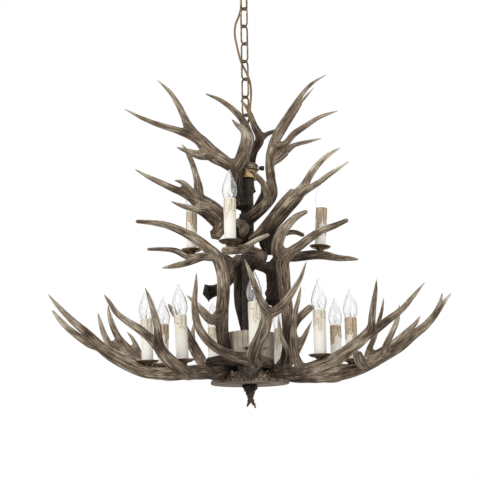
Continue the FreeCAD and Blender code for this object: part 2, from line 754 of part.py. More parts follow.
def canopy():
    """A round bell with a flat foot, open towards the ceiling, with a wall of even thickness."""
    wall = CANOPY_WALL
    hole = ROD_RADIUS + THREAD_CLEARANCE
    hole = hole / math.cos(math.pi / TURNED_SIDES)
    bow = CANOPY_RADIUS - CANOPY_FLAT_RADIUS
    outside = [(CANOPY_FLAT_RADIUS, 0)]
    inside = [(CANOPY_FLAT_RADIUS, wall)]
    for degrees in (40.0, 90.0):
        angle = math.radians(degrees)
        reach = math.sin(angle)
        rise = (1.0 - math.cos(angle)) * CANOPY_SHOULDER
        outside.append((CANOPY_FLAT_RADIUS + bow * reach, rise))
        inside.append((CANOPY_FLAT_RADIUS + (bow - wall) * reach, wall + rise))
    outline = [(hole, 0)] + outside + [(CANOPY_RADIUS, CANOPY_DEPTH),
                                       (CANOPY_RADIUS - wall, CANOPY_DEPTH)]
    outline += inside[::-1] + [(hole, wall)]
    shell = facet_revolve(outline, TURNED_SIDES)
    shell.translate(at(0, 0, CANOPY_FOOT))
    x, y = CORD_EXIT
    return shell.cut(prism(BUSHING_RADIUS - BUSHING_FLANGE, CANOPY_FOOT, CANOPY_FOOT + wall,
                           ROUND_SIDES, x, y))


def cord_bushing():
    """A flanged bush that the cord leaves the canopy through."""
    x, y = CORD_EXIT
    neck = BUSHING_RADIUS - BUSHING_FLANGE
    flange = prism(BUSHING_RADIUS, CANOPY_FOOT - BUSHING_FLANGE, CANOPY_FOOT, ROUND_SIDES, x, y)
    barrel = prism(neck, CANOPY_FOOT, CANOPY_FOOT + BUSHING_LENGTH, ROUND_SIDES, x, y)
    return flange.fuse(barrel)


def ceiling_bracket():
    top = CEILING
    foot = top - BRACKET_THICKNESS
    strip = Part.makeBox(BRACKET_LENGTH, BRACKET_WIDTH, BRACKET_THICKNESS,
                         at(-BRACKET_LENGTH / 2.0, -BRACKET_WIDTH / 2.0, foot))
    for side in (-1, 1):
        strip = strip.cut(cylinder(SCREW_HOLE_RADIUS, foot, top, side * SCREW_SPACING / 2.0, 0))
    return strip.cut(rod_bore(foot, top))


def bracket_nut():
    top = CEILING - BRACKET_THICKNESS
    foot = top - NUT_HEIGHT
    reach = NUT_ACROSS_FLATS / math.sqrt(3)
    corners = [at(reach * math.cos(math.pi * j / 3), reach * math.sin(math.pi * j / 3), foot)
               for j in range(6)]
    nut = flat_face(corners).extrude(Vector(0, 0, NUT_HEIGHT))
    return nut.cut(rod_bore(foot, top))


# ---- cord ----------------------------------------------------------------------------------------
def cord_path(route):
    """Straight runs joined by arcs as large as the two runs allow. Prints the arcs' radii."""
    points = [at(*p) for p in route]
    edges = []
    radii = []
    start = points[0]
    for before, corner, after in zip(points, points[1:], points[2:]):
        into = (corner - before)
        out = (after - corner)
        shorter = min(into.Length, out.Length)
        into.normalize()
        out.normalize()
        turn = into.getAngle(out)
        reach = 0.45 * shorter
        radius = reach / math.tan(turn / 2.0)
        radii.append(radius)
        first = corner - into * reach
        last = corner + out * reach
        inward = (out - into).normalize()
        middle = corner + inward * (radius / math.cos(turn / 2.0) - radius)
        edges.append(Part.LineSegment(start, first).toShape())
        edges.append(Part.Arc(first, middle, last).toShape())
        start = last
    edges.append(Part.LineSegment(start, points[-1]).toShape())
    print("cord arcs, least radius %.0f mm of %d" % (min(radii), len(radii)))
    return Part.Wire(edges)


def cord_tube(route):
    path = cord_path(route)
    points = [at(*p) for p in route]
    direction = (points[1] - points[0]).normalize()
    ring = rings_along([points[0], points[0] + direction], [CORD_DIAMETER / 2.0] * 2, CORD_SIDES)[0]
    tube = path.makePipeShell([Part.makePolygon(ring + ring[:1])], True, False)
    section = flat_face(ring).Area
    print("cord volume over section times length %.4f" % (abs(tube.Volume) / (section * path.Length)))
    return tube


# ---- candles --------------------------------------------------------------------------------------
def placed(shape, candle):
    """A piece of a candle, turned about the foot of its sleeve and moved to its place."""
    angle = math.radians(candle.azimuth)
    shape.rotate(Vector(0, 0, 0), Vector(0, 0, 1), candle.azimuth)
    shape.rotate(Vector(0, 0, 0), Vector(0, 1, 0), candle.lean)
    shape.translate(at(candle.radius * math.sin(angle), -candle.radius * math.cos(angle),
                       candle.height))
    return shape


def drip_dish(candle):
    """A shallow dish in one piece with the cup that is screwed down on the antler."""
    profile = [
        (0, -CUP_HEIGHT), (CUP_FOOT_RADIUS, -CUP_HEIGHT), (CUP_RADIUS, -DISH_FLOOR),
        (DISH_RADIUS - DISH_BRIM + 1.0, 0.8 - DISH_FLOOR), (DISH_RADIUS, DISH_RISE),
        (DISH_RADIUS - DISH_BRIM, 0), (0, 0),
    ]
    return placed(facet_revolve(profile, ROUND_SIDES), candle)


def dish_room(candle):
    """The room that a dish and its cup need in the antler below."""
    profile = [
        (0, -CUP_HEIGHT), (CUP_FOOT_RADIUS + 1.5, -CUP_HEIGHT),
        (CUP_RADIUS + 1.0, -DISH_FLOOR - CLEARANCE),
        (DISH_RADIUS - DISH_BRIM + 2.5, 0.8 - DISH_FLOOR - CLEARANCE),
        (DISH_RADIUS + 1.0, DISH_RISE - 1.5),
        (DISH_RADIUS + 1.0, DISH_RISE + 5.0), (0, DISH_RISE + 5.0),
    ]
    return placed(facet_revolve(profile, ROUND_SIDES), candle)


def candle_sleeve(candle):
    profile = [
        (SLEEVE_BORE, 0), (SLEEVE_RADIUS, 0), (SLEEVE_RADIUS, SLEEVE_HEIGHT),
        (SLEEVE_BORE, SLEEVE_HEIGHT),
    ]
    return placed(facet_revolve(profile, ROUND_SIDES), candle)


def lampholder(candle):
    floor = HOLDER_HEIGHT - HOLDER_BORE_DEPTH
    bore = (BULB_CAP_RADIUS + CLEARANCE) / math.cos(math.pi / BULB_SIDES)
    cup = facet_revolve([(0, 0), (HOLDER_RADIUS, 0), (HOLDER_RADIUS, HOLDER_HEIGHT),
                         (bore, HOLDER_HEIGHT), (bore, floor), (0, floor)], BULB_SIDES)
    return placed(cup, candle)


def bulb(candle):
    """A clear candle bulb on its screw cap, standing in the holder."""
    foot = HOLDER_HEIGHT - HOLDER_BORE_DEPTH + CLEARANCE
    glass = HOLDER_HEIGHT + CLEARANCE
    neck = SLEEVE_BORE * math.cos(math.pi / ROUND_SIDES) - CLEARANCE
    shape = [(1.0, 0.28), (0.8, 0.62)]
    profile = [(0, foot), (BULB_CAP_RADIUS, foot), (BULB_CAP_RADIUS, glass), (neck, SLEEVE_HEIGHT)]
    profile += [(BULB_RADIUS * wide, glass + BULB_LENGTH * high) for wide, high in shape]
    profile += [(0, glass + BULB_LENGTH)]
    return placed(facet_revolve(profile, BULB_SIDES), candle)


# ---- antlers ----------------------------------------------------------------------------------------
def antler_solid(antler):
    """The beam and its tines as one solid of flat facets."""
    def branch(points, sides):
        return facet_branch([at(*p[:3]) for p in points], [p[3] for p in points], sides)

    beam = branch(antler.beam, BEAM_SIDES)
    tines = []
    for start, points in antler.tines:
        x, y, height, radius = antler.beam[start]
        root = (x, y, height, min(radius * 0.8, points[0][3]))
        tines.append(branch([root] + points, TINE_SIDES))
    return largest_solid(beam.fuse(tines)) if tines else beam


def build_antlers(column):
    """Every antler, notched where it sits on the column, a dish or another antler."""
    rooms = [dish_room(c) for c in LOWER_CANDLES + UPPER_CANDLES]
    made = {}
    tiers = ("basket", "upright", "arm", "middle", "crown")
    order = sorted(ANTLERS, key=lambda name: tiers.index(name.split("_")[0]))
    for name in order:
        solid = antler_solid(ANTLERS[name])
        box = solid.BoundBox
        tools = column + rooms + list(made.values())
        near = [t for t in tools if box.intersect(t.BoundBox)]
        made[name] = largest_solid(solid.cut(near)) if near else solid
    return made


# ---- build ------------------------------------------------------------------------------------------
def build():
    candles = LOWER_CANDLES + UPPER_CANDLES
    nodes = {
        "ceiling_bracket": ceiling_bracket(),
        "bracket_nut": bracket_nut(),
        "canopy_nipple": canopy_nipple(),
        "canopy": canopy(),
        "ceiling_loop": ceiling_loop(),
        "cord_bushing": cord_bushing(),
        "chain_top_link": link(LINKS - 1),
        "chain_links": Part.makeCompound([link(i) for i in range(LINKS - 1)]),
        "flex_top": cord_tube([CORD_START] + CORD_TOP_ROUTE),
        "flex": cord_tube(CORD_ROUTE + [CORD_END]),
        "hanging_eye": hanging_eye(),
        "central_rod": central_rod(),
        "column_cap": column_cap(),
        "cap_screw": cap_screw(),
        "column_collar": column_collar(),
        "column_tube": column_tube(),
        "stump_core": stump_core(),
        "hub_disc": hub_disc(),
        "finial": finial(),
        "drip_dishes": Part.makeCompound([drip_dish(c) for c in candles]),
        "candle_sleeves": Part.makeCompound([candle_sleeve(c) for c in candles]),
        "lampholders": Part.makeCompound([lampholder(c) for c in candles]),
    }
    for label, group in (("lower", LOWER_CANDLES), ("upper", UPPER_CANDLES)):
        for number, candle in enumerate(group, start=1):
            nodes["bulb_%s_%d" % (label, number)] = bulb(candle)
    column = [
        prism(TUBE_RADIUS, STUMP_TOP, TUBE_TOP - COLLAR_HEIGHT),
        prism(TUBE_RADIUS + COLLAR_WALL + CLEARANCE, TUBE_TOP - COLLAR_HEIGHT, TUBE_TOP,
              COLLAR_SIDES),
        prism(CAP_RADIUS + CLEARANCE, TUBE_TOP, CAP_TOP),
        nodes["stump_core"],
        nodes["hub_disc"],
    ]
    nodes.update(build_antlers(column))
    return nodes


def main():
    os.makedirs("parts", exist_ok=True)
    for name, shape in build().items():
        print("%-24s solids %d valid %s volume %.0f" % (
            name, len(shape.Solids), shape.isValid(), shape.Volume))
        shape.exportStep(os.path.join("parts", name + ".step"))


main()
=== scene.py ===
"""The looks of an antler chandelier with twelve candle lights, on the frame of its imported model."""
import math
from collections import namedtuple

import bmesh
import bpy
import numpy as np
from mathutils import Matrix, Vector, noise


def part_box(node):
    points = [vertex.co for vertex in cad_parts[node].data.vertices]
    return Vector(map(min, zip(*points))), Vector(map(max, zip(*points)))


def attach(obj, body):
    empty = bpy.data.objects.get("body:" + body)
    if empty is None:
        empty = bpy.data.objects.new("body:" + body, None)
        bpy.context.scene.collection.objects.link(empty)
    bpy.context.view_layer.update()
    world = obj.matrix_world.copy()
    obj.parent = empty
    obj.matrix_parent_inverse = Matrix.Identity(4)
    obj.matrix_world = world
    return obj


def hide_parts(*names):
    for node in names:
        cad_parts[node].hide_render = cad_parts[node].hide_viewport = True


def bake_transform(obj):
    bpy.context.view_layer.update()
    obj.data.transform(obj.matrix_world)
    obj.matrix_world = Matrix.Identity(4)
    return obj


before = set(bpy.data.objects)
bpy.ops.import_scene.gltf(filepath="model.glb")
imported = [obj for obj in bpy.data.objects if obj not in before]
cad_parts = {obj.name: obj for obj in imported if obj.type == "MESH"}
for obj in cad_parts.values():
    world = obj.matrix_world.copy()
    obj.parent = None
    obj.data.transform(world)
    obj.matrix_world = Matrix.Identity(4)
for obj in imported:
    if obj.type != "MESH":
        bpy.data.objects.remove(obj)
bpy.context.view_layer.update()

# Each candle: azimuth from the front towards +X, distance from the column, height of the
# sleeve's foot above the hub's underside, and its lean towards +X in degrees.
Candle = namedtuple("Candle", "azimuth radius height lean")
LOWER_CANDLES = [
    Candle(3, 242, 57, 0),
    Candle(40.5, 240, 46, 0),
    Candle(83, 242, 50, 0),
    Candle(119, 248, 52, 0),
    Candle(161, 242, 60, 0),
    Candle(203, 240, 66, 0),
    Candle(243, 242, 60, 0),
    Candle(283, 244, 51, -1.7),
    Candle(323, 244, 38, -3),
]
UPPER_CANDLES = [
    Candle(-13, 177, 308, 0),
    Candle(106, 187, 340, 4),
    Candle(229, 191, 353, 0),
]

# Each antler: the beam from its base to a tip, and its tines as (point of the beam that it
# grows from, its own points). A point is x, y, height above the hub's underside, and radius,
# in millimetres.
Antler = namedtuple("Antler", "beam tines")
ANTLERS = {
    "crown_antler_left": Antler([
        (-17, -22, 428, 15), (-25, -32, 476, 14), (-26, -38, 517, 14), (-45, -44, 531, 16),
        (-85, -54, 557, 20.5), (-117, -60, 592, 15.5), (-167, -72, 610, 9.5), (-213, -84, 622, 7.2),
        (-253, -96, 636, 5.2), (-293, -110, 655, 1.5)],
        [(5, [(-137, -56, 618, 13.5), (-151, -52, 651, 8.8), (-164, -48, 681, 7.4), (-188, -44, 721, 5.4),
              (-220, -40, 755, 1.5)]),
         (4, [(-113, -76, 546, 12), (-142, -94, 550, 6.5), (-166, -110, 555, 2)]),
         (2, [(-18, -46, 528, 15), (-2, -30, 565, 14.5), (9, -24, 603, 12), (3, -26, 623, 11),
              (-8, -30, 648, 9.3), (-31, -36, 674, 8), (-62, -44, 696, 6), (-99, -52, 711, 2.2)]),
         (2, [(-9, -44, 620, 8), (-24, -48, 632, 5), (-34, -52, 643, 2)])]),
    "crown_antler_right": Antler([
        (-6, -27, 389, 15), (19, -36, 406, 14), (43, -30, 429, 13), (63, -16, 458, 11), (60, 6, 508, 11.5),
        (58, 8, 550, 11), (66, 10, 592, 11), (83, 12, 635, 9), (109, 10, 676, 8), (136, 5, 716, 6),
        (167, 0, 751, 4.5), (208, -8, 774, 1.5)],
        [(6, [(95, 0, 593, 8.5), (119, -10, 616, 8), (149, -20, 634, 6.8), (187, -30, 654, 5.2),
              (230, -40, 665, 1.5)]),
         (6, [(95, 28, 585, 10), (122, 42, 604, 6), (158, 58, 618, 4.6), (197, 74, 632, 1.5)]),
         (8, [(141, 24, 713, 5), (178, 36, 758, 1.5)]),
         (2, [(53, -60, 427, 7.5), (48, -68, 452, 7), (37, -76, 477, 6), (15, -82, 496, 4),
              (-6, -86, 508, 1.5)])]),
    "crown_antler_back": Antler([
        (5, 27, 479, 13), (7, 46, 536, 12.5), (17, 48, 590, 12), (35, 46, 623, 11.5), (21, 46, 661, 8.5),
        (11, 50, 695, 6), (-1, 55, 719, 4.5), (-14, 60, 734, 1.5)],
        [(3, [(57, 56, 641, 6), (79, 72, 654, 5), (96, 90, 672, 3)])]),
    "middle_antler_left": Antler([
        (-14, -10, 340, 14), (-56, -26, 393, 19), (-86, -36, 421, 19), (-119, -46, 440, 16.5),
        (-145, -56, 452, 10.5), (-182, -72, 466, 8), (-228, -90, 485, 5.8), (-267, -110, 503, 1.5)],
        [(3, [(-118, -36, 472, 12), (-124, -26, 507, 8.3), (-134, -16, 544, 7.2), (-147, -8, 575, 5.6),
              (-161, 0, 599, 1.5)]),
         (3, [(-138, -66, 462, 8.5), (-154, -80, 476, 6), (-174, -94, 478, 1.5)]),
         (2, [(-120, -62, 414, 8.5), (-155, -86, 417, 6), (-181, -108, 423, 1.5)]),
         (1, [(-69, -34, 366, 13.5), (-81, -38, 353, 16)])]),
    "middle_antler_right": Antler([
        (54, 10, 321, 15), (44, -10, 349, 17), (54, -26, 373, 17.5), (77, -38, 400, 17), (96, -44, 419, 16),
        (124, -48, 451, 14.5), (142, -52, 477, 9.5), (158, -55, 503, 8.2), (175, -60, 523, 7),
        (198, -66, 543, 5.8), (230, -75, 559, 1.5)],
        [(5, [(147, -62, 460, 9.5), (173, -74, 472, 7.8), (197, -84, 488, 6.4), (221, -92, 502, 5),
              (246, -100, 517, 1.5)])]),
    "middle_antler_back": Antler([
        (-4, 27, 392, 13), (25, 46, 442, 11), (43, 70, 485, 9), (60, 100, 530, 7.5), (67, 128, 576, 6),
        (74, 156, 623, 4), (80, 176, 657, 1.5)],
        [(0, [(-26, 40, 400, 11), (-54, 52, 417, 10), (-89, 64, 446, 9), (-125, 76, 471, 7.5),
              (-156, 87, 490, 5.5), (-193, 98, 510, 1.5)]),
         (2, [(39, 100, 520, 5), (14, 132, 551, 4), (-7, 158, 570, 1.5)])]),
    "arm_antler_front": Antler([
        (6, -9, 286, 13), (33, -70, 295, 13), (14, -110, 298, 12), (-11, -140, 297, 11.5),
        (-40, -172, 289, 11), (-54, -192, 282, 9.5)],
        [(3, [(5, -158, 305, 6.5), (23, -170, 313, 6), (48, -184, 321, 4)])]),
    "arm_antler_left": Antler([
        (-102, -18, 218, 15), (-76, -12, 226, 14), (-49, -2, 251, 14), (-39, 10, 288, 14),
        (-59, 36, 312, 13), (-90, 68, 323, 12), (-116, 94, 330, 11), (-144, 125, 334, 11),
        (-191, 142, 358, 8), (-226, 154, 364, 6), (-262, 166, 367, 4)],
        [(3, [(-17, 4, 309, 12)]),
         (6, [(-152, 92, 315, 8.5), (-187, 84, 305, 6.5), (-217, 78, 299, 2)])]),
    "arm_antler_right": Antler([
        (59, -2, 193, 17), (60, 2, 236, 16.5), (60, 8, 276, 15), (76, 18, 305, 13), (119, 38, 314, 11.5),
        (180, 52, 321, 11), (227, 62, 314, 8), (255, 66, 313, 6), (276, 70, 311, 2.5)],
        [(2, [(12, 9, 295, 13)]),
         (1, [(44, -16, 211, 8)]),
         (3, [(72, 12, 347, 7.5), (89, 6, 364, 6.5), (114, 0, 368, 6), (137, -6, 358, 5)])]),
    "upright_antler_left": Antler([
        (-51, -40, 43, 13), (-57, -50, 77, 14.5), (-63, -54, 114, 15), (-63, -56, 165, 15),
        (-59, -58, 222, 15), (-62, -60, 265, 14.5), (-73, -64, 295, 14), (-97, -68, 318, 12.5),
        (-124, -73, 339, 11.5), (-153, -79, 355, 9.4), (-188, -86, 369, 7.9), (-225, -94, 375, 6.5),
        (-262, -102, 377, 4.4)],
        [(3, [(-86, -78, 144, 11.5), (-109, -94, 164, 9), (-124, -104, 181, 6), (-143, -116, 197, 2)])]),
    "upright_antler_right": Antler([
        (77, -23, 37, 13), (88, -36, 71, 14), (91, -46, 110, 14.5), (90, -52, 166, 14.5),
        (86, -55, 213, 14.5), (83, -56, 249, 15.5), (83, -57, 283, 15.5), (101, -61, 305, 12),
        (123, -65, 319, 10.5), (149, -70, 338, 9.5), (176, -76, 353, 8.2), (209, -83, 364, 6.8),
        (237, -90, 375, 4.8)],
        [(6, [(69, -62, 309, 14), (76, -68, 341, 13), (96, -73, 369, 10.5), (116, -78, 387, 8.2),
              (142, -84, 399, 4.8)]),
         (2, [(112, -66, 142, 9.5), (128, -74, 157, 9), (146, -82, 171, 8)])]),
    "upright_antler_back": Antler([
        (-7, 36, 115, 10), (-14, 40, 159, 12.5), (-20, 40, 201, 15.5), (-21, 38, 243, 15.5),
        (-19, 34, 282, 13.5), (-15, 27, 311, 11)],
        [(3, [(-41, 62, 273, 8), (-56, 84, 308, 6.5), (-68, 104, 338, 1.5)])]),
    "basket_antler_1": Antler([
        (3, -57, 36, 13), (2, -120, 18, 14.5), (3, -180, 26, 15.5), (13, -242, 34, 16), (9, -271, 44, 15),
        (20, -291, 65, 14.5), (31, -312, 90, 13.5), (37, -335, 116, 12), (21, -370, 148, 8.5),
        (7, -402, 184, 6), (-8, -430, 218, 1.5)],
        [(3, [(-29, -250, 40, 12.5), (-59, -260, 51, 11), (-86, -270, 70, 10.5), (-104, -279, 94, 9.5),
              (-113, -286, 123, 8.5), (-115, -291, 153, 7), (-112, -295, 182, 5), (-110, -300, 216, 1.5)]),
         (7, [(60, -352, 125, 9), (86, -378, 152, 7), (104, -400, 178, 5), (118, -420, 214, 1.5)])]),
    "basket_antler_2": Antler([
        (38, -42, 36, 13), (82, -92, 17, 14.5), (116, -137, 16, 15), (156, -182, 24, 15.5),
        (188, -197, 37, 14), (218, -211, 57, 12.5), (246, -224, 78, 12), (262, -240, 98, 9.5),
        (263, -260, 119, 8), (265, -285, 145, 6.5), (267, -310, 169, 4.5), (267, -335, 189, 1.5)],
        [(2, [(100, -162, 57, 9), (98, -174, 87, 8.5), (99, -184, 117, 7.5), (103, -194, 144, 6.5),
              (110, -204, 170, 5), (116, -214, 199, 1.5)]),
         (1, [(87, -106, 64, 6.5), (74, -108, 96, 5.5), (69, -110, 123, 4), (67, -112, 150, 1.5)]),
         (6, [(278, -228, 99, 9.5), (305, -226, 119, 8.5), (332, -224, 139, 7), (360, -222, 169, 5),
              (388, -220, 201, 1.5)])]),
    "basket_antler_3": Antler([
        (56, -9, 36, 13), (113, -14, 19, 14.5), (178, -24, 15, 15), (240, -29, 27, 16), (276, -36, 39, 14),
        (314, -44, 59, 13.5), (349, -50, 78, 12.5), (381, -54, 103, 11), (412, -58, 126, 9.5),
        (436, -61, 152, 8), (455, -64, 177, 5.5), (476, -67, 201, 1.5)],
        [(9, [(451, -44, 180, 5.5), (462, -28, 209, 1.5)]),
         (5, [(316, -72, 80, 8.5), (329, -90, 107, 7.5), (340, -106, 135, 6), (344, -120, 168, 1.5)]),
         (4, [(254, -72, 44, 12), (246, -88, 61, 10)])]),
    "basket_antler_4": Antler([
        (49, 28, 36, 13), (102, 56, 23, 14.5), (160, 90, 25, 15), (217, 120, 29, 16), (256, 140, 48, 14),
        (296, 153, 66, 13), (337, 164, 89, 12), (374, 172, 115, 10), (405, 178, 141, 8),
        (430, 184, 165, 5.5), (444, 190, 185, 1.5)],
        [(5, [(304, 168, 95, 8.5), (320, 180, 127, 7.5), (333, 194, 162, 6.5), (347, 206, 203, 4.5),
              (355, 216, 240, 1.5)])]),
    "basket_antler_5": Antler([
        (19, 54, 36, 13), (32, 120, 31, 14.5), (53, 175, 35, 15), (79, 229, 37, 16), (87, 260, 52, 14.5),
        (99, 286, 73, 14), (114, 318, 96, 12.5), (134, 348, 126, 10), (154, 376, 162, 7),
        (177, 404, 208, 1.5)],
        [(7, [(129, 376, 154, 7.5), (125, 402, 191, 5.5), (130, 424, 223, 1.5)]),
         (2, [(31, 205, 65, 9), (17, 228, 96, 7), (7, 250, 133, 1.5)])]),
    "basket_antler_6": Antler([
        (-20, 53, 36, 13), (-42, 120, 32, 14.5), (-69, 172, 38, 15), (-94, 221, 43, 16),
        (-109, 252, 56, 14.5), (-123, 280, 76, 14), (-139, 312, 97, 12.5), (-153, 338, 119, 10),
        (-157, 374, 164, 7), (-153, 410, 217, 1.5)],
        [(7, [(-174, 362, 147, 8), (-184, 388, 178, 6), (-187, 414, 212, 1.5)]),
         (2, [(-48, 198, 71, 8), (-33, 220, 101, 6), (-25, 244, 135, 1.5)]),
         (4, [(-192, 258, 201, 8.5), (-206, 266, 221, 7), (-216, 274, 239, 3)])]),
    "basket_antler_7": Antler([
        (-50, 28, 36, 13), (-104, 54, 32, 14.5), (-160, 84, 35, 15), (-216, 110, 37, 16),
        (-253, 128, 55, 14), (-285, 146, 79, 12.5), (-312, 162, 107, 12.2), (-335, 177, 136, 9.7),
        (-351, 190, 165, 8.2), (-363, 203, 196, 6.2), (-370, 214, 231, 1.5)],
        [(5, [(-328, 160, 97, 10.3), (-355, 172, 116, 9.3), (-374, 184, 147, 7.8), (-386, 196, 180, 5.8),
              (-396, 206, 210, 1.5)]),
         (4, [(-277, 158, 87, 8), (-289, 172, 114, 6.5), (-303, 184, 139, 4.5), (-318, 194, 156, 1.5)])]),
    "basket_antler_8": Antler([
        (-56, -11, 36, 13), (-110, -28, 29, 14.5), (-173, -42, 24, 15), (-238, -55, 28, 16),
        (-274, -64, 41, 15.5), (-308, -72, 59, 15), (-344, -80, 85, 13), (-377, -90, 118, 9.5),
        (-397, -97, 135, 8.5), (-421, -104, 158, 7), (-442, -110, 180, 5), (-463, -116, 206, 1.5)],
        [(6, [(-375, -60, 96, 9.5), (-402, -50, 115, 8.5), (-425, -42, 133, 7.5), (-448, -34, 156, 6),
              (-468, -28, 180, 3)])]),
    "basket_antler_9": Antler([
        (-36, -44, 36, 13), (-82, -92, 20, 14.5), (-114, -145, 19, 15), (-147, -195, 15, 16),
        (-157, -212, 24, 15), (-175, -229, 38, 14), (-192, -240, 60, 12.5), (-195, -256, 82, 10),
        (-195, -280, 106, 8.5), (-200, -303, 130, 7), (-206, -325, 153, 5), (-215, -345, 177, 1.5)],
        [(6, [(-214, -240, 84, 10), (-239, -248, 104, 9), (-264, -256, 120, 7.5), (-286, -263, 139, 6),
              (-299, -269, 159, 4.5), (-311, -275, 177, 1.5)])]),
}


# ---- places --------------------------------------------------------------------------------------
MM = 0.001
HUB_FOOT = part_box("hub_disc")[0].z


def at(x, y, height):
    """A point given in millimetres, its height counted from the hub's underside."""
    return Vector((x * MM, y * MM, HUB_FOOT + height * MM))


def height_of(node, top=True):
    """The height of a node's top or foot above the hub's underside, in millimetres."""
    return (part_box(node)[1 if top else 0].z - HUB_FOOT) / MM


def candle_spot(candle):
    angle = math.radians(candle.azimuth)
    return at(candle.radius * math.sin(angle), -candle.radius * math.cos(angle), candle.height)


def candle_frame(candle):
    """The turn and move that bring a piece from the Z axis to its candle."""
    lean = Matrix.Rotation(math.radians(candle.lean), 4, "Y")
    return Matrix.Translation(candle_spot(candle)) @ lean


# ---- node trees ----------------------------------------------------------------------------------
class Wire:
    """An output of a node. Plain arithmetic on it makes the nodes that work it out."""

    def __init__(self, socket):
        self.socket = socket
        self.tree = socket.id_data

    def __add__(self, other):
        return maths("ADD", self, other)

    def __sub__(self, other):
        return maths("SUBTRACT", self, other)

    def __rsub__(self, other):
        return maths("SUBTRACT", other, self)

    def __mul__(self, other):
        return maths("MULTIPLY", self, other)

    def __rtruediv__(self, other):
        return maths("DIVIDE", other, self)

    def __abs__(self):
        return maths("ABSOLUTE", self)

    def spread(self, low, high, to_low=0.0, to_high=1.0, kind="LINEAR"):
        """This value's place between low and high, laid between to_low and to_high."""
        feeds = {"Value": self, "From Min": low, "From Max": high, "To Min": to_low, "To Max": to_high}
        return node(self.tree, "ShaderNodeMapRange", feeds, interpolation_type=kind)

    def ease(self, low, high, to_low=0.0, to_high=1.0):
        """As spread, with soft ends."""
        return self.spread(low, high, to_low, to_high, "SMOOTHSTEP")


class Outputs:
    """A node's outputs by name, as wires."""

    def __init__(self, made):
        self.made = made

    def __getitem__(self, name):
        return Wire(self.made.outputs[name])


def feed(target, feeds):
    """Links wires to a node's inputs, or sets them to plain values."""
    for name, value in feeds.items():
        if isinstance(value, Wire):
            value.tree.links.new(value.socket, target.inputs[name])
        else:
            target.inputs[name].default_value = value


def node(tree, kind, feeds=None, out=0, **settings):
    """Adds a node, sets it up, feeds its inputs, and gives one of its outputs."""
    made = tree.nodes.new(kind)
    for name, value in settings.items():
        setattr(made, name, value)
    feed(made, feeds or {})
    return Wire(made.outputs[out]) if made.outputs else made


def maths(operation, first, second=0.0, third=0.0, clamp=False):
    tree = (first if isinstance(first, Wire) else second).tree
    feeds = {0: first, 1: second, 2: third}
    return node(tree, "ShaderNodeMath", feeds, operation=operation, use_clamp=clamp)


def weighed(start, *parts):
    """A plain start value with weighed parts on top of it, kept between 0 and 1."""
    total = start
    for value, weight in parts:
        total = maths("MULTIPLY_ADD", value, weight, total)
    return maths("ADD", total, 0.0, clamp=True)


def vectors(operation, first, second):
    return node(first.tree, "ShaderNodeVectorMath", {0: first, 1: second}, operation=operation)


def scaled(vector, share):
    return node(vector.tree, "ShaderNodeVectorMath", {0: vector, "Scale": share}, operation="SCALE")


def attribute(tree, name, kind="FLOAT"):
    """A named attribute inside a geometry tree."""
    return node(tree, "GeometryNodeInputNamedAttribute", {"Name": name}, data_type=kind)


def keep_attribute(geometry, name, value, kind="FLOAT"):
    feeds = {"Geometry": geometry, "Name": name, "Value": value}
    return node(geometry.tree, "GeometryNodeStoreNamedAttribute", feeds, data_type=kind)


def object_shape(tree, thing):
    return node(tree, "GeometryNodeObjectInfo", {"Object": thing}, "Geometry")


def pushed(geometry, push):
    """The geometry with its points moved along their normals."""
    tree = geometry.tree
    offset = scaled(node(tree, "GeometryNodeInputNormal"), push)
    return node(tree, "GeometryNodeSetPosition", {"Geometry": geometry, "Offset": offset})


# The inputs of geometry trees that are no plain numbers.
INPUT_KINDS = {"Part": "Object", "Skin": "Object", "Count": "Int", "Material": "Material"}


def geometry_tree(name, *inputs):
    """A geometry tree with the named inputs and a material, and the outputs that give them."""
    tree = bpy.data.node_groups.new(name, "GeometryNodeTree")
    tree.interface.new_socket("Geometry", in_out="INPUT", socket_type="NodeSocketGeometry")
    for label in (*inputs, "Material"):
        kind = "NodeSocket" + INPUT_KINDS.get(label, "Float")
        tree.interface.new_socket(label, in_out="INPUT", socket_type=kind)
    tree.interface.new_socket("Geometry", in_out="OUTPUT", socket_type="NodeSocketGeometry")
    return tree, Outputs(tree.nodes.new("NodeGroupInput"))


def close_tree(geometry, material):
    """Ends a tree in real geometry, smooth shading and its material."""
    tree = geometry.tree
    geometry = node(tree, "GeometryNodeRealizeInstances", {"Geometry": geometry})
    geometry = node(tree, "GeometryNodeSetShadeSmooth", {"Geometry": geometry, "Shade Smooth": True})
    geometry = node(tree, "GeometryNodeSetMaterial", {"Geometry": geometry, "Material": material})
    feed(tree.nodes.new("NodeGroupOutput"), {"Geometry": geometry})
    return tree


def add_tree(obj, tree, values):
    """Puts a geometry tree on an object, with its inputs set by name."""
    modifier = obj.modifiers.new(tree.name, "NODES")
    modifier.node_group = tree
    for item in tree.interface.items_tree:
        if item.in_out == "INPUT" and item.name in values:
            modifier[item.identifier] = values[item.name]


# ---- meshes --------------------------------------------------------------------------------------
SHARP_ANGLE = math.radians(38)


def new_object(name, data, material=None):
    obj = bpy.data.objects.new(name, data)
    bpy.context.scene.collection.objects.link(obj)
    if material is not None:
        data.materials.clear()
        data.materials.append(material)
    return obj


def drop(*objects):
    for obj in objects:
        bpy.data.objects.remove(obj)


def evaluated_mesh(obj):
    """The object's shape as its modifiers or its curve leave it."""
    bpy.context.view_layer.update()
    graph = bpy.context.evaluated_depsgraph_get()
    return bpy.data.meshes.new_from_object(obj.evaluated_get(graph))


def settle(obj, name):
    """The object as its modifiers leave it, as a plain mesh under its final name."""
    mesh = evaluated_mesh(obj)
    old = obj.data
    drop(obj)
    if old.users == 0:
        bpy.data.meshes.remove(old)
    mesh.name = name
    return new_object(name, mesh)


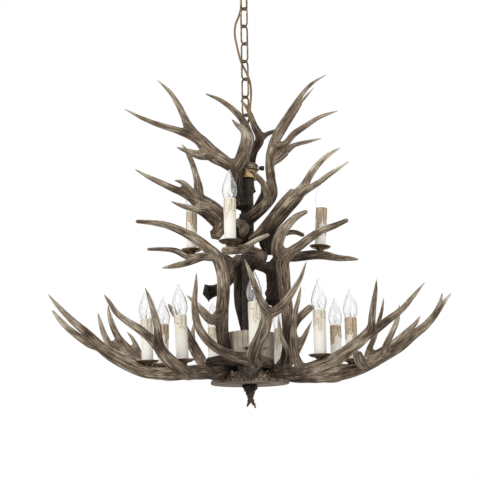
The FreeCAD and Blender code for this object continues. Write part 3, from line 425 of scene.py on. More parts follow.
def mesh_from(points, faces, name="shape"):
    mesh = bpy.data.meshes.new(name)
    mesh.from_pydata([tuple(p) for p in points], [], [tuple(f) for f in faces])
    mesh.update()
    mesh.shade_smooth()
    return mesh


def keep_values(mesh, **columns):
    """Named values on a mesh's points."""
    for name, values in columns.items():
        mesh.attributes.new(name, "FLOAT", "POINT").data.foreach_set("value", values)


def joined(meshes, name):
    """Several meshes in one."""
    whole = bmesh.new()
    for mesh in meshes:
        whole.from_mesh(mesh)
    out = bpy.data.meshes.new(name)
    whole.to_mesh(out)
    whole.free()
    return out


def turns(count):
    """The angles of evenly spaced places round a circle."""
    return [2 * math.pi * j / count for j in range(count)]


def circle(centre, across, over, radius, count):
    return [centre + (across * math.cos(a) + over * math.sin(a)) * radius for a in turns(count)]


def ring_faces(rings, sides, closed=False, begin=0):
    """The faces between rings of corners. A closed row of rings ends at its first one."""
    faces = []
    for i in range(rings if closed else rings - 1):
        low = begin + i * sides
        high = begin + (i + 1) % rings * sides
        for j in range(sides):
            k = (j + 1) % sides
            faces.append((low + j, low + k, high + k, high + j))
    return faces


def tube_faces(rings, sides):
    """The faces of a tube with flat ends."""
    ends = [tuple(range(sides))[::-1], tuple(range((rings - 1) * sides, rings * sides))]
    return ring_faces(rings, sides) + ends


def lathe(profile, segments, ripple=None):
    """A turned shape about Z. The profile is (radius, height) in millimetres, closed on the axis or
    as a ring. ripple(angle, radius) gives a radius instead of the plain one."""
    ends_on_axis = profile[0][0] == 0
    rings = profile[1:-1] if ends_on_axis else profile
    points = []
    for radius, height in rings:
        for angle in turns(segments):
            reach = ripple(angle, radius) if ripple else radius
            points.append(Vector((reach * math.cos(angle), reach * math.sin(angle), height)) * MM)
    faces = ring_faces(len(rings), segments, not ends_on_axis)
    if ends_on_axis:
        first = len(points)
        points += [Vector((0, 0, height)) * MM for height in (profile[0][1], profile[-1][1])]
        top = (len(rings) - 1) * segments
        for j in range(segments):
            k = (j + 1) % segments
            faces += [(first, k, j), (first + 1, top + j, top + k)]
    mesh = mesh_from(points, faces)
    shape = bmesh.new()
    shape.from_mesh(mesh)
    bmesh.ops.recalc_face_normals(shape, faces=shape.faces)
    shape.to_mesh(mesh)
    shape.free()
    mesh.set_sharp_from_angle(angle=SHARP_ANGLE)
    return mesh


def rounded(profile, radius=0.6, steps=3):
    """The profile with each inner corner rounded."""
    soft = [profile[0]]
    for before, corner, after in zip(profile, profile[1:], profile[2:]):
        corner = Vector(corner)
        into = Vector(before) - corner
        out = Vector(after) - corner
        reach = min(radius, into.length * 0.45, out.length * 0.45)
        first = corner + into.normalized() * reach
        last = corner + out.normalized() * reach
        for i in range(steps + 1):
            t = i / steps
            soft.append(tuple(first * (1 - t) ** 2 + corner * 2 * t * (1 - t) + last * t * t))
    soft.append(profile[-1])
    return soft


def ring_loop(points, wire, sides):
    """A closed round wire through points that lie in one plane."""
    count = len(points)
    normal = (points[1] - points[0]).cross(points[count // 3] - points[0]).normalized()
    corners = []
    for i, point in enumerate(points):
        along = (points[(i + 1) % count] - points[i - 1]).normalized()
        corners += circle(point, along.cross(normal), normal, wire / 2, sides)
    return mesh_from(corners, ring_faces(count, sides, True))


def line_ways(points):
    """The direction of a line at each of its points."""
    after = points[1:] + points[-1:]
    before = points[:1] + points[:-1]
    return [(b - a).normalized() for a, b in zip(before, after)]


def strand_tube(points, radius, sides=8):
    """A round wire with flat ends, along a route close to the XZ plane."""
    corners = []
    for point, along in zip(points, line_ways(points)):
        beside = along.cross(Vector((0, 1, 0))).normalized()
        corners += circle(point, beside, beside.cross(along), radius, sides)
    return mesh_from(corners, tube_faces(len(points), sides))


def finish_piece(obj, body, slot, *nodes):
    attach(obj, body)
    if nodes:
        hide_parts(*nodes)


def dress(obj, tree, values, name, slot, cad, body="chandelier"):
    """Puts a tree on a shape and keeps what it makes as a finished piece."""
    add_tree(obj, tree, values)
    piece = settle(obj, name)
    finish_piece(piece, body, slot, cad)
    return piece


# ---- finishes ------------------------------------------------------------------------------------
def shader_group(name, sizes, outputs):
    """A shader node group: a vector and named sizes go in, named values come out."""
    tree = bpy.data.node_groups.new(name, "ShaderNodeTree")
    tree.interface.new_socket("Vector", in_out="INPUT", socket_type="NodeSocketVector")
    for label, size in sizes.items():
        socket = tree.interface.new_socket(label, in_out="INPUT", socket_type="NodeSocketFloat")
        socket.default_value = size
    for label in outputs:
        tree.interface.new_socket(label, in_out="OUTPUT", socket_type="NodeSocketFloat")
    return tree, Outputs(tree.nodes.new("NodeGroupInput")), tree.nodes.new("NodeGroupOutput")


def mottle_group():
    """Soft uneven patches and fine specks that follow the piece."""
    sizes = {"Patch Size": 0.03, "Speck Size": 0.002}
    tree, given, end = shader_group("mottle", sizes, ("Patches", "Specks"))
    for label, size in zip(("Patches", "Specks"), sizes):
        feeds = {"Vector": given["Vector"], "Scale": 1.0 / given[size], "Detail": 3.0}
        feed(end, {label: node(tree, "ShaderNodeTexNoise", feeds)})
    return tree


def strands_group():
    """Streaks that run along a piece: the vector's first two parts go round it and the third along."""
    tree, given, end = shader_group("strands", {"Width": 0.002, "Stretch": 0.06}, ("Coarse", "Fine"))
    along = node(tree, "ShaderNodeCombineXYZ", {0: 1.0, 1: 1.0, 2: given["Stretch"]})
    drawn = vectors("MULTIPLY", given["Vector"], along)
    for label, share in (("Coarse", 1.0), ("Fine", 2.6)):
        feeds = {"Vector": drawn, "Scale": share / given["Width"], "Detail": 4.0, "Roughness": 0.6}
        feed(end, {label: node(tree, "ShaderNodeTexNoise", feeds)})
    return tree


MOTTLE = mottle_group()
STRANDS = strands_group()


def place_group(tree, group, feeds):
    made = tree.nodes.new("ShaderNodeGroup")
    made.node_tree = group
    feed(made, feeds)
    return Outputs(made)


def object_place(tree):
    return node(tree, "ShaderNodeTexCoord", out="Object")


def mottled(tree, patch, speck):
    feeds = {"Vector": object_place(tree), "Patch Size": patch, "Speck Size": speck}
    return place_group(tree, MOTTLE, feeds)


def ramp(value, stops):
    """A colour ramp of (position, colour)."""
    made = value.tree.nodes.new("ShaderNodeValToRGB")
    band = made.color_ramp
    while len(band.elements) < len(stops):
        band.elements.new(0.5)
    for element, (position, colour) in zip(band.elements, stops):
        element.position = position
        element.color = (*colour, 1)
    feed(made, {0: value})
    return Wire(made.outputs[0])


def mix(share, first, second):
    """One colour laid over another."""
    feeds = {0: share}
    for socket, value in ((6, first), (7, second)):
        feeds[socket] = value if isinstance(value, Wire) else (*value, 1)
    return node(share.tree, "ShaderNodeMix", feeds, 2, data_type="RGBA")


def new_material(name, roughness=0.5, metallic=0.0, specular=0.5):
    material = bpy.data.materials.new(name)
    material.use_nodes = True
    shader = material.node_tree.nodes["Principled BSDF"]
    feed(shader, {"Roughness": roughness, "Metallic": metallic, "Specular IOR Level": specular})
    return material, material.node_tree, shader


def shader_attribute(tree, name, out="Fac"):
    return node(tree, "ShaderNodeAttribute", out=out, attribute_name=name)


def bump(shader, height, depth, strength):
    feeds = {"Height": height, "Distance": depth, "Strength": strength}
    feed(shader, {"Normal": node(height.tree, "ShaderNodeBump", feeds)})


ANTLER_TONES = [
    (0.00, (0.012, 0.007, 0.004)), (0.20, (0.045, 0.029, 0.018)), (0.40, (0.125, 0.088, 0.058)),
    (0.58, (0.270, 0.208, 0.146)), (0.76, (0.470, 0.395, 0.300)), (1.00, (0.800, 0.735, 0.620)),
]
TIMBER_TONES = [
    (0.0, (0.06, 0.044, 0.032)), (0.32, (0.27, 0.22, 0.17)), (0.6, (0.52, 0.45, 0.36)),
    (1.0, (0.75, 0.68, 0.58)),
]
IVORY = (0.90, 0.87, 0.80)
YELLOWED = (0.84, 0.79, 0.66)
GLAZE = (0.52, 0.37, 0.21)
GLAZE_EDGE = (0.20, 0.135, 0.065)
GLAZE_SPECK = (0.40, 0.275, 0.15)
# The grey of the painted shade at the glass's outline.
GLASS_PAINTED_EDGE_SHADE = (0.26, 0.26, 0.26)
WHITE = (1.0, 1.0, 1.0)


def antler_finish(name, lift):
    """Dark stain in the grooves, worn pale ridges, cream tips. lift makes the whole finish paler or darker,
    which the copies use for painted light and shade as well as stain.
    """
    material, tree, shader = new_material(name, specular=0.22)
    strand = shader_attribute(tree, "strand", "Vector")
    streaks = place_group(tree, STRANDS, {"Vector": strand, "Width": 0.0021, "Stretch": 0.06})
    patches = mottled(tree, 0.045, 0.0016)
    groove, tip, root = (shader_attribute(tree, part) for part in ("groove", "tip", "root"))
    # The root share darkens each antler towards its foot by the column: partly its real darker base, partly
    # painted shade at the core.
    tone = weighed(
        lift - 1.21, (groove, 0.26), (streaks["Coarse"], 1.25), (streaks["Fine"], 0.75),
        (patches["Patches"], 0.85), (patches["Specks"], 0.15), (tip, 0.20), (root, -0.42))
    feed(shader, {"Base Color": ramp(tone, ANTLER_TONES), "Roughness": tone.spread(0.0, 1.0, 0.74, 0.46)})
    bump(shader, streaks["Fine"] + patches["Specks"], 0.0004, 0.5)
    return material


def metal_finish(name, base, worn, roughness, metallic=1.0, wear=0.5):
    """A patinated metal: its base colour, with worn patches where it is handled."""
    material, tree, shader = new_material(name, roughness, metallic)
    patches = mottled(tree, 0.012, 0.001)
    colour = mix(patches["Patches"].spread(0.42, 0.68, 0.0, wear), base, worn)
    colour = mix(patches["Specks"].spread(0.5, 0.8, 0.0, 0.4), colour, tuple(c * 0.4 for c in base))
    rough = patches["Patches"].spread(0.3, 0.7, roughness + 0.12, roughness - 0.08)
    feed(shader, {"Base Color": colour, "Roughness": rough})
    bump(shader, patches["Specks"], 0.0001, 0.3)
    return material


def wax_finish():
    """Ivory wax with a tan glaze that has run from the top and gathered at each drip's edge."""
    material, tree, shader = new_material("ivory_wax", roughness=0.45, specular=0.4)
    drip, up, stain = (shader_attribute(tree, name) for name in ("drip", "up", "stain"))
    patches = mottled(tree, 0.008, 0.0009)
    high = up.ease(0.30, 0.80)
    run = stain * drip.spread(0.0, 0.45) * patches["Patches"].spread(0.3, 0.6, 0.5, 1.0)
    edge = drip.spread(0.01, 0.16) * drip.spread(0.34, 0.80, 1.0, 0.0) * (stain * 0.35 + 0.55)
    colour = mix(high, IVORY, YELLOWED)
    colour = mix(run, colour, GLAZE)
    colour = mix(edge, colour, GLAZE_EDGE)
    colour = mix(patches["Specks"].spread(0.55, 0.75) * high * 0.5, colour, GLAZE_SPECK)
    feed(shader, {
        "Base Color": colour, "Subsurface Weight": 0.12, "Subsurface Radius": (0.006, 0.004, 0.002)})
    bump(shader, patches["Specks"], 0.0003, 0.35)
    return material


def glass_finish():
    """Clear glass with grey painted towards its outline, as painted shade."""
    material, tree, shader = new_material("clear_glass", roughness=0.0)
    # Painted shade: the base colour turns grey towards the outline, standing in for the darker surroundings
    # that the edges of real glass show.
    share = node(tree, "ShaderNodeLayerWeight", {"Blend": 0.5}, "Facing").ease(0.35, 0.92)
    feed(shader, {
        "Base Color": mix(share, WHITE, GLASS_PAINTED_EDGE_SHADE), "Transmission Weight": 0.93, "IOR": 1.45})
    return material


def timber_finish():
    """Dry split timber, its grain running up."""
    material, tree, shader = new_material("stump_timber", roughness=0.8, specular=0.2)
    feeds = {"Vector": object_place(tree), "Width": 0.004, "Stretch": 0.08}
    streaks = place_group(tree, STRANDS, feeds)
    patches = mottled(tree, 0.03, 0.002)
    tone = weighed(
        -0.28, (streaks["Coarse"], 0.9), (streaks["Fine"], 0.35), (patches["Patches"], 0.25))
    feed(shader, {"Base Color": ramp(tone, TIMBER_TONES)})
    bump(shader, streaks["Coarse"], 0.002, 0.8)
    return material


def cord_finish():
    """Brown and gold threads twisted together."""
    material, tree, shader = new_material("twisted_cord", roughness=0.75, specular=0.2)
    wave = maths("SINE", shader_attribute(tree, "turn"))
    colour = mix(wave.spread(-0.4, 0.5), (0.17, 0.10, 0.045), (0.42, 0.30, 0.15))
    patches = mottled(tree, 0.01, 0.0006)
    colour = mix(patches["Specks"].spread(0.45, 0.75, 0.0, 0.6), colour, (0.09, 0.055, 0.03))
    feed(shader, {"Base Color": colour, "Sheen Weight": 0.3})
    bump(shader, patches["Specks"], 0.0003, 0.6)
    return material


def insulator_finish():
    """A pale moulded insulator, faintly mottled."""
    material, tree, shader = new_material("insulator", 0.4, specular=0.4)
    patches = mottled(tree, 0.01, 0.001)
    colour = (0.80, 0.79, 0.76)
    shade = tuple(c * 0.8 for c in colour)
    feed(shader, {"Base Color": mix(patches["Patches"].spread(0.35, 0.7), colour, shade)})
    bump(shader, patches["Specks"], 0.0001, 0.3)
    return material


# Copies of one finish: the darker one is darker stain and painted shade for the antlers at the back, the
# paler one paler antler and painted light for antlers that catch the light.
antler_brown = antler_finish("antler_brown", 0.0)
antler_dark_stain_and_shade = antler_finish("antler_dark_stain_and_shade", -0.13)
antler_pale_and_lit = antler_finish("antler_pale_and_lit", 0.06)
bronze = metal_finish("dark_bronze", (0.030, 0.021, 0.015), (0.085, 0.060, 0.040), 0.48, 0.6)
dish_bronze = metal_finish("dish_bronze", (0.095, 0.066, 0.042), (0.34, 0.23, 0.12), 0.40, 0.8, 0.8)
cap_bronze = metal_finish("cap_bronze", (0.13, 0.098, 0.062), (0.40, 0.32, 0.21), 0.38, 0.8, 0.8)
aged_brass = metal_finish("aged_brass", (0.115, 0.080, 0.045), (0.30, 0.215, 0.125), 0.40)
bright_brass = metal_finish("bright_brass", (0.46, 0.33, 0.15), (0.62, 0.48, 0.25), 0.34)
zinc = metal_finish("zinc_plate", (0.52, 0.52, 0.53), (0.62, 0.62, 0.63), 0.36)
tungsten = metal_finish("filament_wire", (0.50, 0.49, 0.47), (0.62, 0.61, 0.59), 0.35)
wax = wax_finish()
glass = glass_finish()
timber = timber_finish()
cord_cloth = cord_finish()
insulator = insulator_finish()


# ---- column --------------------------------------------------------------------------------------
STUMP_TOP = height_of("stump_core")
TUBE_TOP = height_of("column_tube")
CAP_TOP = height_of("column_cap")
COLLAR_FOOT = height_of("column_collar", False)
TUBE_RADIUS = 16.0
TUBE_BORE_RADIUS = 12.0
COLLAR_RADIUS = 26.0
CAP_RADIUS = 30.0
ROD_RADIUS = 5.0
STUMP_RADIUS = 60.0
HUB_RADIUS = 90.0
HUB_HEIGHT = height_of("hub_disc")
HUB_RIM_HEIGHT = 8.0
HUB_RIM_RADIUS = 93.0
RIM_EDGE = 1.5
FLUTES = 16
FLUTE_DEPTH = 1.7
STUMP_ROOM = 1.5                 # how far the antlers reach into the stump's uneven face
TUBE_ROOM = 0.8                  # and into the tube's flutes
ROD_ROOM = 90.0                  # how far above the cap the antlers keep clear of the rod


def lift(mesh, height=0.0):
    """Moves a mesh made on the Z axis up to its height above the hub's underside."""
    mesh.transform(Matrix.Translation(at(0, 0, height)))
    return mesh


def turned(name, profile, segments, material, slot, cad, ripple=None):
    """A turned piece of the chandelier."""
    piece = new_object(name, lift(lathe(profile, segments, ripple)), material)
    finish_piece(piece, "chandelier", slot, cad)


def column_space():
    """The solid that the antlers are notched round: hub, stump, tube, cap, and a space round the rod above
    the cap.
    """
    stump = STUMP_RADIUS - STUMP_ROOM
    tube = TUBE_RADIUS - TUBE_ROOM
    profile = [
        (0, 0), (HUB_RIM_RADIUS, 0), (HUB_RIM_RADIUS, HUB_RIM_HEIGHT), (HUB_RADIUS, HUB_RIM_HEIGHT),
        (HUB_RADIUS, HUB_HEIGHT), (stump, HUB_HEIGHT), (stump, STUMP_TOP), (tube, STUMP_TOP),
        (tube, TUBE_TOP), (CAP_RADIUS, TUBE_TOP), (CAP_RADIUS, CAP_TOP), (ROD_RADIUS, CAP_TOP),
        (ROD_RADIUS, CAP_TOP + ROD_ROOM), (0, CAP_TOP + ROD_ROOM),
    ]
    return new_object("column_space", lift(lathe(profile, 64)))


def build_tube():
    def flute(angle, radius):
        if radius < TUBE_RADIUS:
            return radius
        return radius - FLUTE_DEPTH * (1 - abs(math.sin(FLUTES * angle / 2))) ** 1.6

    profile = [
        (TUBE_BORE_RADIUS, STUMP_TOP), (TUBE_RADIUS, STUMP_TOP),
        (TUBE_RADIUS, (STUMP_TOP + TUBE_TOP) / 2), (TUBE_RADIUS, TUBE_TOP), (TUBE_BORE_RADIUS, TUBE_TOP),
    ]
    turned("fluted_tube", profile, FLUTES * 12, bronze, "dark_metal", "column_tube", flute)


def build_turned_pieces():
    wide = COLLAR_RADIUS
    collar = [(TUBE_RADIUS, 0), (wide - 1, 0), (wide, 1), (wide, 3), (wide - 0.6, 3.8)]
    collar = [(r, COLLAR_FOOT + h) for r, h in collar]
    collar = rounded(collar + [(wide - 0.6, TUBE_TOP), (TUBE_RADIUS, TUBE_TOP)])
    turned("brass_collar", collar, 64, bright_brass, "bright_brass", "column_collar")

    wide = CAP_RADIUS
    foot = [(0, 0), (wide - 3, 0), (wide, 3), (wide, 5.5), (wide - 2.2, 7.5)]
    head = [(wide - 2.2, 6.5), (wide - 0.4, 4.5), (wide - 1.2, 1), (wide - 6, 0), (0, 0)]
    cap = [(r, TUBE_TOP + h) for r, h in foot] + [(r, CAP_TOP - h) for r, h in head]
    turned("bronze_cap", rounded(cap, 1.4, 4), 72, cap_bronze, "dark_metal", "column_cap")

    low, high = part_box("cap_screw")
    length = (high.x - low.x) / MM
    screw = rounded([(0, 0), (4.4, 0), (4.4, 4.5), (6, 5.2), (6, length - 1.5), (4, length), (0, length)])
    screw = lathe(screw, 24)
    place = Matrix.Translation((low.x, 0, (low.z + high.z) / 2))
    screw.transform(place @ Matrix.Rotation(math.pi / 2, 4, "Y"))
    finish_piece(new_object("cap_grub_screw", screw, bronze), "chandelier", "dark_metal", "cap_screw")

    foot = height_of("central_rod", False)
    top = height_of("central_rod")
    rod = [(0, foot), (ROD_RADIUS, foot), (ROD_RADIUS, top), (0, top)]
    turned("stem_rod", rod, 24, aged_brass, "aged_brass", "central_rod")


def stump_tree():
    """Splits that run up the billet, and a rough face."""
    tree, given = geometry_tree("split_timber", "Depth", "Width")
    drawn = vectors("MULTIPLY", node(tree, "GeometryNodeInputPosition"), (1.0, 1.0, 0.09))
    feeds = {"Vector": drawn, "Scale": 1.0 / given["Width"], "Detail": 4.0}
    push = (node(tree, "ShaderNodeTexNoise", feeds) - 0.62) * given["Depth"]
    return close_tree(pushed(given["Geometry"], push), given["Material"])


def build_stump():
    heights = [HUB_HEIGHT + (STUMP_TOP - HUB_HEIGHT) * i / 24 for i in range(25)]
    profile = [(r, HUB_HEIGHT) for r in (0, 20, 40)] + [(STUMP_RADIUS, h) for h in heights]
    profile += [(r, STUMP_TOP) for r in (50, 40, 30, 20, 10, 0)]
    billet = new_object("stump", lift(lathe(profile, 160)))
    values = {"Depth": 0.008, "Width": 0.009, "Material": timber}
    dress(billet, stump_tree(), values, "stump_billet", "timber", "stump_core")


def burr_tree():
    """The knobbly face of a cut burr: rounded pearls in uneven rows, with dark gaps between."""
    tree, given = geometry_tree("pearled_face", "Pearl", "Height", "Low")
    place = node(tree, "GeometryNodeInputPosition")
    bend = node(tree, "ShaderNodeTexNoise", {"Vector": place, "Scale": 60.0, "Detail": 2.0}, "Color")
    drawn = vectors("ADD", place, scaled(bend, 0.012))
    feeds = {"Vector": drawn, "Scale": 1.0 / given["Pearl"]}
    pearl = node(tree, "ShaderNodeTexVoronoi", feeds, "Distance").ease(0.05, 0.62, 1.0, 0.0)
    level = node(tree, "ShaderNodeSeparateXYZ", {0: place}, "Z")
    above = level.spread(given["Low"], given["Low"] + 0.002)
    moved = pushed(given["Geometry"], (pearl - 0.75) * given["Height"] * above)
    moved = keep_attribute(moved, "groove", pearl * above + (1.0 - above) * 0.55)
    moved = keep_attribute(moved, "strand", place, "FLOAT_VECTOR")
    return close_tree(moved, given["Material"])


def build_hub():
    """The plate: a pale plain rim below and a pearled band above it."""
    wide = HUB_RIM_RADIUS
    band = [HUB_RIM_HEIGHT + (HUB_HEIGHT - HUB_RIM_HEIGHT - 1) * i / 12 for i in range(13)]
    profile = [(0, 0), (30, 0), (60, 0), (wide - RIM_EDGE, 0), (wide, RIM_EDGE),
               (wide, HUB_RIM_HEIGHT - RIM_EDGE), (wide - RIM_EDGE, HUB_RIM_HEIGHT)]
    profile += [(HUB_RADIUS, h) for h in band]
    profile += [(r, HUB_HEIGHT) for r in (HUB_RADIUS - 2, 80, 70, 62, 40, 0)]
    plate = new_object("plate", lift(lathe(profile, 420)))
    low = HUB_FOOT + HUB_RIM_HEIGHT * MM
    values = {"Pearl": 0.0095, "Height": 0.0055, "Low": low, "Material": antler_brown}
    dress(plate, burr_tree(), values, "hub_plate", "antler", "hub_disc")


# ---- candles -------------------------------------------------------------------------------------
SLEEVE_RADIUS = 14.5
SLEEVE_BORE = 12.2
SLEEVE_HEIGHT = 100.0
SLEEVE_COAT = 0.9                # how much thinner the sleeve is made, to leave room for its drips
HOLDER_HEIGHT = 86.0
HOLDER_DEPTH = 18.7
BULB_FOOT = HOLDER_HEIGHT + 0.3
BULB_LENGTH = 85.0
BULB_WALL = 0.7
DISH_RADIUS = 27.0
CUP_HEIGHT = 11.0
CANDLES = LOWER_CANDLES + UPPER_CANDLES
# Two layers of drips: the share of the strips, and the shortest and longest run.
DRIP_LAYERS = ((1.0, 0.10, 0.52), (0.62, 0.16, 0.34))
DRIP_LIP = 0.8
STAINS = [0.05, 0.2, 0.95, 0.95, 0.3, 0.4, 0.95, 0.2, 0.1, 0.1, 0.95, 0.8]


def candle_spots():
    """One point for each candle, with its lean, a seed, and how far its glaze has run."""
    mesh = mesh_from([candle_spot(c) for c in CANDLES], [])
    keep_values(mesh, tilt=[math.radians(c.lean) for c in CANDLES],
                seed=[3.0 + 7.31 * i for i in range(len(CANDLES))], stain=STAINS)
    return new_object("candle_spots", mesh)


def on_spots(tree, part, points, turn):
    """One part on every point. turn holds the node inputs of its angles."""
    turn = node(tree, "FunctionNodeEulerToRotation", {0: node(tree, "ShaderNodeCombineXYZ", turn)})
    feeds = {"Points": points, "Instance": object_shape(tree, part), "Rotation": turn}
    return node(tree, "GeometryNodeInstanceOnPoints", feeds)


def on_candles(tree, given):
    """The part on every candle spot, leaning as its candle does."""
    return on_spots(tree, given["Part"], given["Geometry"], {1: attribute(tree, "tilt")})


def repeat_tree():
    tree, given = geometry_tree("on_each_candle", "Part")
    return close_tree(on_candles(tree, given), given["Material"])


def sleeve_tree():
    """The wax drips: each strip round the sleeve has its own length, a round end and a crown."""
    tree, given = geometry_tree("wax_drips", "Part", "Strips", "Thickness")
    real = node(tree, "GeometryNodeRealizeInstances", {"Geometry": on_candles(tree, given)})
    seed, around, up, outer, stain = (
        attribute(tree, name) for name in ("seed", "around", "up", "outer", "stain"))
    bulge = up.ease(0.955, 0.99, 0.0, DRIP_LIP)
    for layer, (strips, shortest, longest) in enumerate(DRIP_LAYERS):
        count = node(tree, "FunctionNodeFloatToInt", {0: given["Strips"] * strips})
        feeds = {"W": up * 3.0 + (seed + layer * 5.0), "Scale": 1.5}
        wobble = node(tree, "ShaderNodeTexNoise", feeds, noise_dimensions="1D")
        place = around * count + (wobble - 0.5) * 0.5 + layer * 0.37
        cell = maths("FLOORED_MODULO", maths("FLOOR", place), count)
        key = node(tree, "ShaderNodeCombineXYZ", {0: cell, 1: seed, 2: float(layer)})
        chance = maths("POWER", node(tree, "ShaderNodeTexWhiteNoise", {"Vector": key}, "Value"), 1.4)
        reach = chance.spread(0.0, 1.0, shortest, longest) * (stain * 0.8 + 1.0)
        middle = abs(maths("FRACT", place) * 2.0 - 1.0)
        left = reach - (1.0 - up) - middle * middle * 0.065
        crown = middle.ease(0.25, 0.95, 1.0, 0.0)
        bead = abs(left - 0.035).spread(0.0, 0.035, 0.5, 0.0)
        run = left.ease(0.0, 0.045) * crown * (bead + 0.75)
        bulge = maths("MAXIMUM", bulge, run)
    bulge = bulge * outer
    moved = keep_attribute(pushed(real, bulge * given["Thickness"]), "drip", bulge)
    return close_tree(moved, given["Material"])


def sleeve_part():
    """A plain sleeve with the attributes that the drips follow."""
    rows = 72
    top = SLEEVE_HEIGHT
    body = SLEEVE_RADIUS - SLEEVE_COAT
    profile = [(SLEEVE_BORE, 0.2)] + [(body, top * i / rows) for i in range(rows + 1)]
    profile += [(body - 0.5, top), (SLEEVE_BORE, top), (SLEEVE_BORE, top - 25)]
    mesh = lathe(profile, 96)
    place = np.zeros(len(mesh.vertices) * 3)
    mesh.vertices.foreach_get("co", place)
    x, y, height = place.reshape(-1, 3).T / MM
    outer = (np.hypot(x, y) > body - 0.2).astype(float)
    keep_values(mesh, around=(np.arctan2(y, x) / (2 * math.pi)) % 1.0, up=height / top, outer=outer)
    return new_object("sleeve_part", mesh)


def dish_part():
    """A dish of thin metal with a rolled lip, on a turned cup."""
    cup = [(0, 0), (9.5, 0), (10.5, 2), (8.5, 4)]
    dish = [(r, h - CUP_HEIGHT) for r, h in cup] + [
        (12.8, -4.6), (13.5, -3), (21, -2.2), (DISH_RADIUS - 0.8, 1.4), (DISH_RADIUS, 2.4),
        (DISH_RADIUS - 0.9, 3.0), (DISH_RADIUS - 2.4, 1.8), (21, -0.2), (15.2, 0), (15.2, 1.6),
        (12.5, 1.6), (12.5, 0.1), (0, 0.1)]
    return new_object("dish_part", lathe(rounded(dish, 0.7), 56))


def bulb_shell():
    """A thin glass envelope: the outer wall, and the inner one within it."""
    outline = [(8.0, 0), (8.6, 4), (10.2, 9), (11.3, 13.5), (13.8, 18), (16.1, 24), (17.3, 31),
               (17.2, 38), (15.9, 46), (13.4, 54.5), (10.2, 63), (6.9, 71), (4.0, 77.5),
               (2.0, 82), (0.9, 84.3)]
    inner = [(max(r - BULB_WALL, 0.3), max(h - 0.3, 0.3)) for r, h in outline[::-1]]
    profile = [(0, BULB_LENGTH - 0.9)] + inner + outline + [(0, BULB_LENGTH)]
    return lathe([(r, BULB_FOOT + h) for r, h in profile], 40)


def bulb_wires():
    """Inside the envelope: two lead wires and the filament's arch, a fine coil."""
    wires = []
    for side in (-1, 1):
        rows = [Vector((side * x, 0, BULB_FOOT + h)) * MM for x, h in ((2.0, 6), (2.6, 22), (5.5, 33))]
        wires.append(strand_tube(rows, 0.35 * MM))
    arch = []
    for i in range(33):
        t = i / 32
        height = BULB_FOOT + 33 + 7 * math.sin(math.pi * t)
        coil = Vector((math.cos(t * 60), math.sin(t * 60), 0)) * 0.5
        arch.append((Vector((11 * t - 5.5, 0, height)) + coil) * MM)
    wires.append(strand_tube(arch, 0.2 * MM, 6))
    return joined(wires, "filament")


def stem_glass():
    stem = [(0, 1), (5.5, 1), (3.2, 10), (2.4, 18), (3.0, 21), (1.2, 24), (0.8, 30), (0, 31)]
    return lathe(rounded([(r, BULB_FOOT + h) for r, h in stem], 1.0), 20)


def cap_thread():
    """The bulb's screw cap."""
    foot = HOLDER_HEIGHT - HOLDER_DEPTH
    profile = [(0, foot), (3, foot), (3.4, foot + 1.4), (6.2, foot + 3.2)]
    for i in range(4):
        low = foot + 4 + i * 2.8
        profile += [(6.2, low), (6.8, low + 1.0), (6.8, low + 1.6), (6.2, low + 2.6)]
    profile += [(6.4, BULB_FOOT - 1.5), (7.9, BULB_FOOT), (0, BULB_FOOT)]
    return lathe(rounded(profile, 0.4, 2), 28)


def repaint(cad, material):
    """Gives a piece that the frame shows as it is a finish."""
    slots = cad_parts[cad].data.materials
    for index in range(len(slots)):
        slots[index] = material


def build_candles():
    spots = candle_spots()
    for name, part, tree, values, slot, cad in (
            ("candle_dishes", dish_part(), repeat_tree(), {"Material": dish_bronze},
             "dark_metal", "drip_dishes"),
            ("wax_sleeves", sleeve_part(), sleeve_tree(),
             {"Material": wax, "Strips": 10.0, "Thickness": 0.0011}, "wax", "candle_sleeves")):
        holder = new_object(name, spots.data.copy())
        dress(holder, tree, {"Part": part, **values}, name, slot, cad)
        drop(part)
    drop(spots)
    repaint("lampholders", insulator)


def build_bulbs():
    names = ["bulb_lower_%d" % i for i in range(1, len(LOWER_CANDLES) + 1)]
    names += ["bulb_upper_%d" % i for i in range(1, len(UPPER_CANDLES) + 1)]
    parts = (("envelope", bulb_shell(), glass), ("stem", stem_glass(), glass),
             ("filament", bulb_wires(), tungsten), ("screw_cap", cap_thread(), bright_brass))
    for body, candle in zip(names, CANDLES):
        turn = Matrix.Rotation(math.radians(candle.azimuth), 4, "Z")
        for label, mesh, material in parts:
            copy = mesh.copy()
            copy.transform(candle_frame(candle) @ turn)
            piece = new_object("%s_%s" % (body, label), copy, material)
            cad = [body] if label == "envelope" else []
            finish_piece(piece, body, "glass", *cad)


# ---- suspension ----------------------------------------------------------------------------------
LINKS = 7
LINK_PITCH = 48.1
LINK_WIDTH = 26.0
LINK_WIRE = 4.5
LINK_GAP = 0.3
LINK_TURN = 45.0
EYE_RADIUS = 12.0
EYE_WIRE = 5.0
SOCKET_HEIGHT = 14.0
FIRST_JOINT = height_of("hanging_eye") - (EYE_WIRE * 2 + LINK_GAP) / 2
CANOPY_RADIUS = 60.0
CANOPY_FLAT_RADIUS = 32.0
CANOPY_SHOULDER = 17.0
CANOPY_WALL = 1.5
CANOPY_HOLE = 5.3


def link_turn(step):
    """The angle that a link or an eye stands at, each square to the one before."""
    return math.radians(LINK_TURN + 90 * (step % 2))


